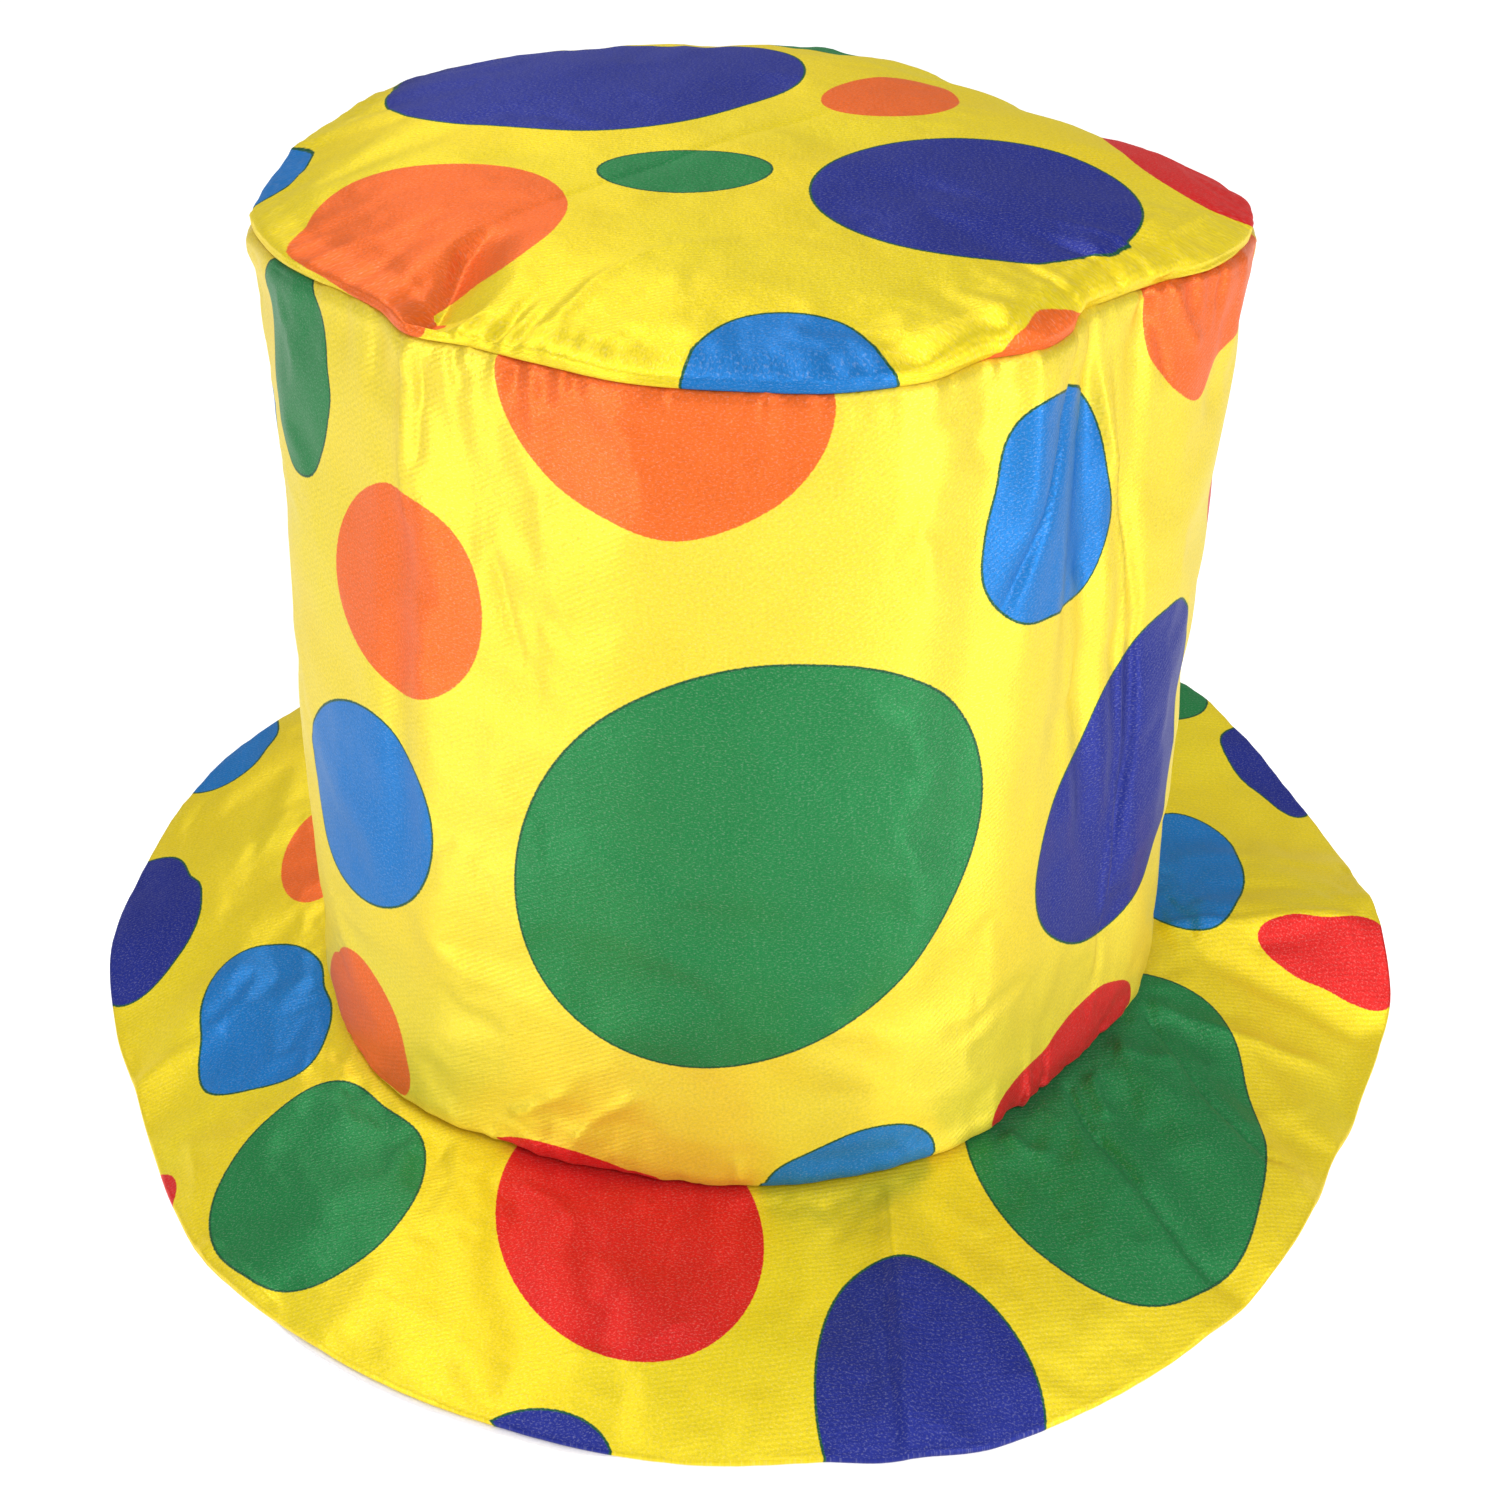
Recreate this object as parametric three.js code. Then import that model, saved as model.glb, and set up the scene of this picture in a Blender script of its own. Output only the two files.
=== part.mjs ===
// A soft polka-dot clown top hat: a padded satin crown on a wide wavy brim with a white underside.
// Millimetres, +Z up, front towards -Y. The origin is the centre of the head opening, on the plane
// that the hat rests on. Angles are degrees round +Z, measured from +X, so the front is at -90.

import * as THREE from "three";

// Driving sizes
const crownRadius = 103;
const crownHeight = 187.5;
const brimWidth = 62;
const seatHeight = 24;
const clothThickness = 3;
const liningThickness = 1;
const seamAllowance = 7;
const seamCloth = 1.5;
const pieceGap = 0.3;
const tipRise = 7.5;
const tipRoll = 3;
const wallBulge = 1.6;
const brimPuff = 1.5;
const brimEdgeCloth = 1.8;
const brimEdgeRound = 0.9;
const liningReveal = 0.9;
const liningSetback = 0.6;

// Stations round the hat, closest together where the cloth is folded
const stationBands = [
  { from: -180, to: -128, count: 11 },
  { from: -128, to: 12, count: 38 },
  { from: 12, to: 180, count: 21 },
];

// Base seam: how far out the wall's foot lies, as a share of crownRadius
const seamRows = [
  { angle: -180, reach: 1.0 },
  { angle: -160, reach: 1.02 },
  { angle: -140, reach: 1.045 },
  { angle: -130, reach: 1.035 },
  { angle: -120, reach: 1.005 },
  { angle: -105, reach: 0.993 },
  { angle: -90, reach: 1.0 },
  { angle: -75, reach: 1.0 },
  { angle: -62, reach: 0.995 },
  { angle: -50, reach: 0.972 },
  { angle: -38, reach: 0.968 },
  { angle: -22, reach: 1.0 },
  { angle: 0, reach: 1.0 },
  { angle: 30, reach: 0.99 },
  { angle: 90, reach: 0.98 },
  { angle: 150, reach: 0.99 },
];

// Top seam: reach as a share of crownRadius, and sag below the full height as a share of crownHeight
const rimRows = [
  { angle: -180, reach: 0.99, sag: 0.043 },
  { angle: -172, reach: 0.975, sag: 0.03 },
  { angle: -165, reach: 0.958, sag: 0.022 },
  { angle: -156, reach: 0.942, sag: 0.014 },
  { angle: -148, reach: 0.925, sag: 0.008 },
  { angle: -141, reach: 0.915, sag: 0.003 },
  { angle: -134, reach: 0.922, sag: 0 },
  { angle: -126, reach: 0.962, sag: 0 },
  { angle: -119, reach: 0.944, sag: 0 },
  { angle: -111, reach: 0.955, sag: 0 },
  { angle: -100, reach: 0.99, sag: 0 },
  { angle: -90, reach: 1.003, sag: 0 },
  { angle: -80, reach: 1.024, sag: 0 },
  { angle: -72, reach: 1.018, sag: 0 },
  { angle: -64, reach: 0.975, sag: 0 },
  { angle: -58, reach: 0.988, sag: 0 },
  { angle: -53, reach: 0.965, sag: 0 },
  { angle: -47, reach: 0.908, sag: 0 },
  { angle: -41, reach: 0.918, sag: 0 },
  { angle: -34, reach: 0.935, sag: 0.004 },
  { angle: -26, reach: 0.985, sag: 0.01 },
  { angle: -16, reach: 1.012, sag: 0.022 },
  { angle: -8, reach: 1.028, sag: 0.034 },
  { angle: 0, reach: 1.04, sag: 0.04 },
  { angle: 8, reach: 1.005, sag: 0.043 },
  { angle: 20, reach: 0.935, sag: 0.047 },
  { angle: 35, reach: 0.905, sag: 0.052 },
  { angle: 50, reach: 0.915, sag: 0.05 },
  { angle: 65, reach: 0.965, sag: 0.043 },
  { angle: 85, reach: 1.005, sag: 0.04 },
  { angle: 105, reach: 1.01, sag: 0.028 },
  { angle: 125, reach: 1.01, sag: 0.018 },
  { angle: 145, reach: 1.0, sag: 0.018 },
  { angle: 160, reach: 0.99, sag: 0.026 },
  { angle: 170, reach: 0.99, sag: 0.036 },
];

// Brim edge: reach out from the base seam and droop below it, both as shares of brimWidth
const brimRows = [
  { angle: -180, reach: 0.955, droop: 0.24 },
  { angle: -170, reach: 0.875, droop: 0.335 },
  { angle: -160, reach: 0.785, droop: 0.37 },
  { angle: -152, reach: 0.77, droop: 0.32 },
  { angle: -144, reach: 0.795, droop: 0.24 },
  { angle: -136, reach: 0.855, droop: 0.18 },
  { angle: -128, reach: 0.915, droop: 0.115 },
  { angle: -120, reach: 0.985, droop: 0.08 },
  { angle: -110, reach: 1.025, droop: 0.08 },
  { angle: -100, reach: 1.035, droop: 0.105 },
  { angle: -90, reach: 1.02, droop: 0.145 },
  { angle: -84, reach: 1.005, droop: 0.16 },
  { angle: -78, reach: 1.015, droop: 0.21 },
  { angle: -70, reach: 1.005, droop: 0.24 },
  { angle: -60, reach: 0.985, droop: 0.24 },
  { angle: -52, reach: 1, droop: 0.225 },
  { angle: -44, reach: 0.99, droop: 0.195 },
  { angle: -36, reach: 0.95, droop: 0.21 },
  { angle: -28, reach: 0.875, droop: 0.275 },
  { angle: -20, reach: 0.865, droop: 0.355 },
  { angle: -12, reach: 0.905, droop: 0.37 },
  { angle: -7, reach: 0.95, droop: 0.24 },
  { angle: -2, reach: 0.925, droop: 0.095 },
  { angle: 3, reach: 0.93, droop: 0.075 },
  { angle: 8, reach: 0.97, droop: 0.13 },
  { angle: 14, reach: 1.015, droop: 0.225 },
  { angle: 22, reach: 1, droop: 0.175 },
  { angle: 30, reach: 0.985, droop: 0.065 },
  { angle: 38, reach: 1.015, droop: 0.03 },
  { angle: 50, reach: 1, droop: 0.13 },
  { angle: 65, reach: 0.985, droop: 0.275 },
  { angle: 80, reach: 0.97, droop: 0.405 },
  { angle: 100, reach: 0.97, droop: 0.405 },
  { angle: 118, reach: 0.985, droop: 0.29 },
  { angle: 135, reach: 0.985, droop: 0.145 },
  { angle: 148, reach: 0.955, droop: 0.095 },
  { angle: 160, reach: 0.985, droop: 0.16 },
  { angle: 170, reach: 0.97, droop: 0.21 },
];

// Packing creases down the wall: a groove runs from its top angle to its foot angle, between two
// shares of the height. Depth is a share of clothThickness, width is degrees either side, and the
// fades say how fast the groove deepens from its foot and from the top seam
const wallCreases = [
  { topAngle: -129, footAngle: -133, top: 1, foot: 0.3, depth: 0.5, width: 4.5 },
  { topAngle: -47, footAngle: -40, top: 1, foot: 0.25, depth: 0.7, width: 4 },
  { topAngle: -39, footAngle: -30, top: 1, foot: 0, depth: 0.5, width: 4 },
  { topAngle: -20, footAngle: -20, top: 1, foot: 0.8, depth: 0.5, width: 4 },
];

// Folds across the brim: a ridge, or a groove where its height is negative, from its angle at the
// seam to its angle at the edge. Height is a share of clothThickness, ahead and behind are its
// widths in degrees on either side, and start is the share of the width where it begins
const brimFolds = [
  { seamAngle: -6, edgeAngle: 0, height: 0.9, ahead: 9, behind: 5, start: 0 },
  { seamAngle: -72, edgeAngle: -77, height: 0.55, ahead: 5, behind: 5, start: 0 },
  { seamAngle: -37, edgeAngle: -48, height: -0.8, ahead: 5, behind: 6, start: 0 },
  { seamAngle: -21, edgeAngle: -32, height: -0.8, ahead: 5, behind: 5, start: 0 },
  { seamAngle: -176, edgeAngle: -160, height: 0.8, ahead: 6, behind: 6, start: 0.25 },
];

const creaseFade = { foot: 4, top: 12 };
const foldGrowth = 3;

// The crease that the top panel's front left corner is pinched into: depth is a share of tipRise
const tipCrease = { edgeAngle: -126, middleAngle: -137, from: 0.5, depth: 0.3, width: 9 };

// The arc of the brim's edge where the lining shows past the printed cloth
const liningArc = { angle: -112, halfWidth: 16, fade: 6 };

// Shares that set the curves of the panels: the wall is fuller at the front and flatter at the
// right, the tip stays flat for most of its width, and the brim's droop grows towards its edge
const wallFullness = { front: 1, right: -0.75, all: -0.35 };
const tipFlatness = 5;
const droopCurve = 0.25;
const pressedFrom = 0.76;
const tuckTop = 105;
const tuckFoot = 240;
const brow = { out: 0.9, rise: 0.45 };
const forehead = { out: 0.55, rise: 0.85 };

// Shares of the wall's height, the brim's width and the tip's radius where the sections lie
const wallShares = [0.06, 0.22, 0.4, 0.58, 0.76, 0.92];
const brimShares = [0.1, 0.25, 0.42, 0.6, 0.76, 0.9];
const tipShares = [0.93, 0.82, 0.66, 0.46, 0.24];
const archSteps = 2;

// Sizes that follow from the driving sizes
const hemThickness = clothThickness + seamCloth;
const hemRadius = hemThickness / 2;
const tuckRadius = hemRadius + pieceGap;
const steepest = 1.25;
const slopeStep = { share: 0.02, angle: 1 };
const fullTurn = 360;

function smooth(share) {
  const s = Math.min(1, Math.max(0, share));
  return s * s * (3 - 2 * s);
}

function mix(a, b, share) {
  return a + (b - a) * share;
}

function turnBetween(a, b) {
  return (((a - b) % fullTurn) + fullTurn * 1.5) % fullTurn - fullTurn / 2;
}

// Reads one column of a table of rows round the hat, as a smooth curve through the rows
function around(rows, column, angle) {
  const count = rows.length;
  const row = (k) => rows[(k + count) % count];
  const position = (k) => row(k).angle + fullTurn * Math.floor(k / count);
  const slope = (k) => (row(k + 1)[column] - row(k)[column]) / (position(k + 1) - position(k));
  const tangent = (k) => {
    const before = slope(k - 1);
    const after = slope(k);
    return before * after <= 0 ? 0 : (2 * before * after) / (before + after);
  };
  const turned = turnBetween(angle, 0);
  let k = rows.findLastIndex((entry) => entry.angle <= turned + 1e-9);
  k = Math.max(k, 0);
  const span = position(k + 1) - position(k);
  const t = (turned - position(k)) / span;
  const start = mix(row(k)[column], row(k + 1)[column], t * t * (3 - 2 * t));
  return start + span * t * (1 - t) * (tangent(k) * (1 - t) - tangent(k + 1) * t);
}

// Height of a fold at an angle: 1 on its line, falling to 0 at its two widths
function foldShape(offset, ahead, behind) {
  const width = offset < 0 ? ahead : behind;
  return smooth(1 - Math.abs(offset) / width);
}

// Wall

function wallFoot(angle) {
  return { r: crownRadius * around(seamRows, "reach", angle), z: seatHeight };
}

function wallTop(angle) {
  return {
    r: crownRadius * around(rimRows, "reach", angle),
    z: seatHeight + crownHeight * (1 - around(rimRows, "sag", angle)),
  };
}

function wallFace(angle, share) {
  const foot = wallFoot(angle);
  const top = wallTop(angle);
  const radians = THREE.MathUtils.degToRad(angle);
  const towardsFront = Math.max(0, -Math.sin(radians));
  const towardsRight = Math.max(0, Math.cos(radians));
  const { front, right, all } = wallFullness;
  const bulge = wallBulge * (front * towardsFront + right * towardsRight + all);
  let r = mix(foot.r, top.r, share) + bulge * 4 * share * (1 - share);
  for (const crease of wallCreases) {
    const along = (share - crease.foot) / (crease.top - crease.foot);
    const line = mix(crease.footAngle, crease.topAngle, along);
    const fade = smooth(along * creaseFade.foot) * smooth((1 - share) * creaseFade.top);
    const groove = foldShape(turnBetween(angle, line), crease.width, crease.width);
    r -= crease.depth * clothThickness * fade * groove;
  }
  return { r, z: mix(foot.z, top.z, share) };
}

function arc(centre, radius, fromDegrees, toDegrees, steps) {
  return Array.from({ length: steps + 1 }, (_, k) => {
    const radians = THREE.MathUtils.degToRad(mix(fromDegrees, toDegrees, k / steps));
    return { r: centre.r + radius * Math.cos(radians), z: centre.z + radius * Math.sin(radians) };
  });
}

function footCentre(angle) {
  const foot = wallFoot(angle);
  return { r: foot.r - hemRadius, z: foot.z + hemRadius };
}

function topCentre(angle) {
  const top = wallTop(angle);
  return { r: top.r - hemRadius, z: top.z - hemRadius };
}

// Section of the wall: up the outside, over the top hem, down the inside and round the foot hem
function wallSection(angle) {
  const foot = footCentre(angle);
  const top = topCentre(angle);
  const outside = wallShares.map((share) => wallFace(angle, share));
  const inside = outside.map((p) => ({ r: p.r - clothThickness, z: p.z })).reverse();
  return [
    ...outside,
    ...arc(top, hemRadius, 0, 180, archSteps),
    { r: top.r - hemRadius, z: top.z + hemRadius - seamAllowance },
    { r: top.r - hemRadius + seamCloth, z: top.z + hemRadius - seamAllowance - seamCloth },
    ...inside,
    { r: foot.r - hemRadius + seamCloth, z: foot.z - hemRadius + seamAllowance + seamCloth },
    { r: foot.r - hemRadius, z: foot.z - hemRadius + seamAllowance },
    ...arc(foot, hemRadius, 180, 360, archSteps),
  ];
}

// Tip

// Top face of the padded panel: flat in the middle and rounded down to the seam
function tipFace(angle, share) {
  const top = wallTop(angle);
  const edge = top.z + tipRoll;
  const middle = seatHeight + crownHeight + tipRise;
  const edgeRadius = top.r - hemThickness;
  const along = (share - tipCrease.from) / (1 - tipCrease.from);
  const line = mix(tipCrease.middleAngle, tipCrease.edgeAngle, along);
  const groove = foldShape(turnBetween(angle, line), tipCrease.width, tipCrease.width);
  const dent = tipCrease.depth * tipRise * smooth(along) * groove;
  return { r: edgeRadius * share, z: mix(middle, edge, share ** tipFlatness) - dent };
}

// Section of the tip: out below, down and up its tucked edge, over its brow and in along the top
function tipSection(angle) {
  const top = topCentre(angle);
  const lowest = top.z + hemRadius - seamAllowance;
  const below = tipShares.slice(1).map((share) => {
    const p = tipFace(angle, share);
    return { r: p.r - seamCloth * share, z: p.z - clothThickness };
  });
  return [
    ...below.reverse(),
    { r: top.r - tuckRadius - clothThickness, z: top.z },
    { r: top.r - tuckRadius - seamCloth, z: lowest },
    { r: top.r - tuckRadius, z: lowest },
    ...arc(top, tuckRadius, 180, tuckTop, archSteps),
    { r: top.r - hemRadius * (1 - brow.out), z: top.z + hemRadius + tipRoll * brow.rise },
    { r: top.r - hemRadius * (1 - forehead.out), z: top.z + hemRadius + tipRoll * forehead.rise },
    ...tipShares.map((share) => tipFace(angle, share)),
  ];
}

// Brim

function brimReach(angle) {
  return hemRadius + brimWidth * around(brimRows, "reach", angle);
}

// Share of the brim's width that lies a distance out past its edge, or short of it
function edgeShare(angle, out) {
  return 1 + out / brimReach(angle);
}

// Thickness of the padded cloth, which is pressed thin along its stitched edge
function brimCloth(share) {
  return mix(clothThickness, brimEdgeCloth, smooth((share - pressedFrom) / (1 - pressedFrom)));
}

// Upper face of the brim, share 0 at the base seam and 1 at its edge. Where it would sink below
// the surface that the hat rests on, the soft cloth lies flat on it instead
function brimFace(angle, share) {
  const foot = wallFoot(angle);
  const droop = brimWidth * around(brimRows, "droop", angle);
  let z = foot.z - pieceGap - droop * mix(share, share * share, droopCurve);
  z += brimPuff * Math.sin(Math.PI * share);
  for (const fold of brimFolds) {
    const along = Math.max(0, share - fold.start) / (1 - fold.start);
    const line = mix(fold.seamAngle, fold.edgeAngle, share);
    const crest = foldShape(turnBetween(angle, line), fold.ahead, fold.behind);
    z += fold.height * clothThickness * smooth(along * foldGrowth) * crest;
  }
  const lying = brimCloth(share) + pieceGap + liningThickness;
  return { r: foot.r - hemRadius + brimReach(angle) * share, z: Math.max(z, lying) };
}

// A point under the brim's upper face: below a share of its cloth, and a distance more. Steep cloth
// is deeper straight down, and cloth that rests lies flat, each layer at its own height
function underBrim(angle, share, clothShare, more) {
  const depth = brimCloth(share) * clothShare + more;
  const stack = brimCloth(share) + pieceGap + liningThickness;
  const face = brimFace(angle, share);
  const inner = brimFace(angle, Math.max(0, share - slopeStep.share));
  const outer = brimFace(angle, share + slopeStep.share);
  const before = brimFace(angle - slopeStep.angle, share);
  const after = brimFace(angle + slopeStep.angle, share);
  const turned = 2 * face.r * THREE.MathUtils.degToRad(slopeStep.angle);
  const outSlope = (outer.z - inner.z) / (outer.r - inner.r);
  const turnSlope = (after.z - before.z) / turned;
  const steepness = Math.min(steepest, Math.hypot(1, outSlope, turnSlope));
  return { r: face.r, z: Math.max(face.z - depth * steepness, stack - depth) };
}

// Section of the upper brim: in along its top face, up inside the wall, down again and out below
function brimSection(angle) {
  const foot = footCentre(angle);
  const rise = foot.z - hemRadius + seamAllowance;
  const above = brimShares.map((share) => underBrim(angle, share, 0, 0)).reverse();
  const below = brimShares.map((share) => underBrim(angle, share, 1, 0));
  const rounded = edgeShare(angle, -brimEdgeRound);
  const turned = arc(foot, tuckRadius, 270, 180, archSteps);
  const folded = arc(foot, tuckRadius + seamCloth, 180, tuckFoot, archSteps);
  return [
    underBrim(angle, rounded, 0, 0),
    ...above,
    ...turned,
    { r: foot.r - tuckRadius, z: rise },
    { r: foot.r - tuckRadius - seamCloth, z: rise },
    ...folded,
    ...below,
    underBrim(angle, rounded, 1, 0),
    underBrim(angle, 1, 0.5, 0),
  ];
}

// How far the lining's edge stands out past the printed edge: it shows only at the front left
function liningOut(angle) {
  const past = liningArc.halfWidth - Math.abs(turnBetween(angle, liningArc.angle));
  const shows = smooth(past / liningArc.fade);
  return mix(-liningSetback, liningReveal, shows);
}

// Section of the lining, which follows the brim's underside and turns up inside its allowance
function liningSection(angle) {
  const foot = footCentre(angle);
  const rise = foot.z - hemRadius + seamAllowance;
  const upper = pieceGap;
  const lower = pieceGap + liningThickness;
  const inner = tuckRadius + seamCloth + pieceGap;
  const edge = edgeShare(angle, liningOut(angle));
  return [
    underBrim(angle, edge, 1, upper),
    ...brimShares.map((share) => underBrim(angle, share, 1, upper)).reverse(),
    ...arc(foot, inner, tuckFoot, 180, archSteps),
    { r: foot.r - inner, z: rise },
    { r: foot.r - inner - liningThickness, z: rise },
    ...arc(foot, inner + liningThickness, 180, tuckFoot, archSteps),
    ...brimShares.map((share) => underBrim(angle, share, 1, lower)),
    underBrim(angle, edge, 1, lower),
  ];
}

// Sweeping sections round the hat

function stationAngles() {
  return stationBands.flatMap(({ from, to, count }) =>
    Array.from({ length: count }, (_, k) => mix(from, to, k / count)),
  );
}

function place(point, angle) {
  const radians = THREE.MathUtils.degToRad(angle);
  return [point.r * Math.cos(radians), point.r * Math.sin(radians), point.z];
}

// Joins the sections of all stations into one closed body. A ring's sections close on themselves;
// a capped body's sections start and end at the hat's axis, in one point below and one above.
// Every cell is cut from its inner corner at one station to its outer corner at the next, so that
// faces with only a small gap between them stay parallel
function sweep(section, axisPoints) {
  const angles = stationAngles();
  const loops = angles.map(section);
  const rows = loops[0].length;
  const positions = loops.flatMap((loop, j) => loop.flatMap((point) => place(point, angles[j])));
  const triangles = [];
  const at = (j, k) => (j % angles.length) * rows + (k % rows);
  const spans = axisPoints ? rows - 1 : rows;
  for (let j = 0; j < angles.length; j += 1) {
    for (let k = 0; k < spans; k += 1) {
      const corners = [at(j, k), at(j + 1, k), at(j + 1, k + 1), at(j, k + 1)];
      const [a, b, c, d] = corners;
      const outward = loops[j][(k + 1) % rows].r >= loops[j][k].r;
      triangles.push(...(outward ? [a, b, c, a, c, d] : [a, b, d, b, c, d]));
    }
  }
  if (axisPoints) {
    const first = positions.length / 3;
    axisPoints.forEach((z) => positions.push(0, 0, z));
    for (let j = 0; j < angles.length; j += 1) {
      triangles.push(first, at(j + 1, 0), at(j, 0));
      triangles.push(first + 1, at(j, rows - 1), at(j + 1, rows - 1));
    }
  }
  const geometry = new THREE.BufferGeometry();
  geometry.setAttribute("position", new THREE.Float32BufferAttribute(positions, 3));
  geometry.setIndex(triangles);
  geometry.computeVertexNormals();
  return geometry;
}

// Materials

function cloth(color, roughness) {
  return new THREE.MeshStandardMaterial({ color, roughness, metalness: 0, side: THREE.FrontSide });
}

const tipMiddle = seatHeight + crownHeight + tipRise;

const pieces = [
  { name: "crown_side", geometry: sweep(wallSection), material: cloth(0xf9e11f, 0.4) },
  {
    name: "crown_tip",
    geometry: sweep(tipSection, [tipMiddle - clothThickness, tipMiddle]),
    material: cloth(0xf7df22, 0.4),
  },
  { name: "brim", geometry: sweep(brimSection), material: cloth(0xf5dc1e, 0.42) },
  { name: "brim_lining", geometry: sweep(liningSection), material: cloth(0xf2eeee, 0.9) },
];

const hat = new THREE.Group();
hat.name = "clown_hat";
for (const { name, geometry, material } of pieces) {
  const mesh = new THREE.Mesh(geometry, material);
  mesh.name = name;
  hat.add(mesh);
}

export default hat;
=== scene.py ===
import math

import bpy
import numpy as np
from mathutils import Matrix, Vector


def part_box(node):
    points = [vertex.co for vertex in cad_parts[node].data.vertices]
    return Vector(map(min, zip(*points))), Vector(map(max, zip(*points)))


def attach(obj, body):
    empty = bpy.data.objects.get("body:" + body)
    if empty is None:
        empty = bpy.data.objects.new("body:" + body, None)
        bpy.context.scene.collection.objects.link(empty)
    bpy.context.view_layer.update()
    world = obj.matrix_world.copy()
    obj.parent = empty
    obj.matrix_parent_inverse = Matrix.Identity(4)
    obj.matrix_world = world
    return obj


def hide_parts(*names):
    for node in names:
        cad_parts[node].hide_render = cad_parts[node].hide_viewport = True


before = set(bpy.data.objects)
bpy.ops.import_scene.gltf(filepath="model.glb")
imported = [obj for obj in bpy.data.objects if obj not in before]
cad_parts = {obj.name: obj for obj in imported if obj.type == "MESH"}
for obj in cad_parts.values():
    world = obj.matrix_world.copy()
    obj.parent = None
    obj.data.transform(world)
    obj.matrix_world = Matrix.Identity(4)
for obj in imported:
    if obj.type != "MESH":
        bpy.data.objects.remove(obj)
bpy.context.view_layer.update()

# Sizes are millimetres, and the meshes are written in metres. Angles are degrees round +Z.
MM = 0.001
EYE = np.array([2.4, -441.0, 370.1])
LOW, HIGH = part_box("crown_side")
SEAT = LOW[2] / MM
CROWN_HEIGHT = (HIGH[2] - LOW[2]) / MM
CROWN_RADIUS = 103.0
BRIM_WIDTH = 62.0
CLOTH = 3.0
HEM_RADIUS = 2.25
SEAM_CLOTH = 1.5
ALLOWANCE = 7.0
GAP = 0.3
LINING = 1.0
TIP_RISE = 7.5
TIP_ROLL = 3.0
BRIM_EDGE = 1.8

# Base seam: angle, reach as a share of the crown's radius
SEAM = [
    (-180, 1.0), (-160, 1.02), (-140, 1.045), (-130, 1.035), (-120, 1.005), (-105, 0.993),
    (-90, 1.0), (-75, 1.0), (-62, 0.995), (-50, 0.972), (-38, 0.968), (-22, 1.0), (0, 1.0),
    (30, 0.99), (90, 0.98), (150, 0.99),
]

# Top seam: angle, reach as a share of the crown's radius, sag as a share of its height
RIM = [
    (-180, 0.99, 0.043), (-172, 0.975, 0.03), (-165, 0.958, 0.022), (-156, 0.942, 0.014),
    (-148, 0.925, 0.008), (-141, 0.915, 0.003), (-134, 0.922, 0), (-126, 0.962, 0),
    (-119, 0.944, 0), (-111, 0.955, 0), (-100, 0.99, 0), (-90, 1.003, 0), (-80, 1.024, 0),
    (-72, 1.018, 0), (-64, 0.975, 0), (-58, 0.988, 0), (-53, 0.965, 0), (-47, 0.908, 0),
    (-41, 0.918, 0), (-34, 0.935, 0.004), (-26, 0.985, 0.01), (-16, 1.012, 0.022),
    (-8, 1.028, 0.034), (0, 1.04, 0.04), (8, 1.005, 0.043), (20, 0.935, 0.047),
    (35, 0.905, 0.052), (50, 0.915, 0.05), (65, 0.965, 0.043), (85, 1.005, 0.04),
    (105, 1.01, 0.028), (125, 1.01, 0.018), (145, 1.0, 0.018), (160, 0.99, 0.026),
    (170, 0.99, 0.036),
]

# Brim edge: angle, reach and droop as shares of the brim's width
EDGE = [
    (-180, 0.955, 0.24), (-170, 0.875, 0.335), (-160, 0.785, 0.37), (-152, 0.77, 0.32),
    (-144, 0.795, 0.24), (-136, 0.855, 0.18), (-128, 0.915, 0.115), (-120, 0.985, 0.08),
    (-110, 1.025, 0.08), (-100, 1.035, 0.105), (-90, 1.02, 0.145), (-84, 1.005, 0.16),
    (-78, 1.015, 0.21), (-70, 1.005, 0.24), (-60, 0.985, 0.24), (-52, 1, 0.225),
    (-44, 0.99, 0.195), (-36, 0.95, 0.21), (-28, 0.875, 0.275), (-20, 0.865, 0.355),
    (-12, 0.905, 0.37), (-7, 0.95, 0.24), (-2, 0.925, 0.095), (3, 0.93, 0.075),
    (8, 0.97, 0.13), (14, 1.015, 0.225), (22, 1, 0.175), (30, 0.985, 0.065),
    (38, 1.015, 0.03), (50, 1, 0.13), (65, 0.985, 0.275), (80, 0.97, 0.405),
    (100, 0.97, 0.405), (118, 0.985, 0.29), (135, 0.985, 0.145), (148, 0.955, 0.095),
    (160, 0.985, 0.16), (170, 0.97, 0.21),
]

# Soft grooves down the wall: top angle, foot angle, top share, foot share, depth, half width
WALL_GROOVES = [
    (-129, -133, 1, 0.3, 1.5, 4.5),
    (-47, -40, 1, 0.25, 2.1, 4),
    (-39, -30, 1, 0, 1.5, 4),
    (-20, -20, 1, 0.8, 1.5, 4),
    (-171, -171, 1, 0.45, 1.5, 16),
]

# Soft folds across the brim: seam angle, edge angle, height, width ahead, width behind, start
BRIM_FOLDS = [
    (-6, 0, 2.7, 9, 5, 0),
    (-72, -77, 1.65, 5, 5, 0),
    (-37, -48, -2.4, 5, 6, 0),
    (-21, -32, -2.4, 5, 5, 0),
    (-176, -160, 2.4, 6, 6, 0.25),
]

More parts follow.
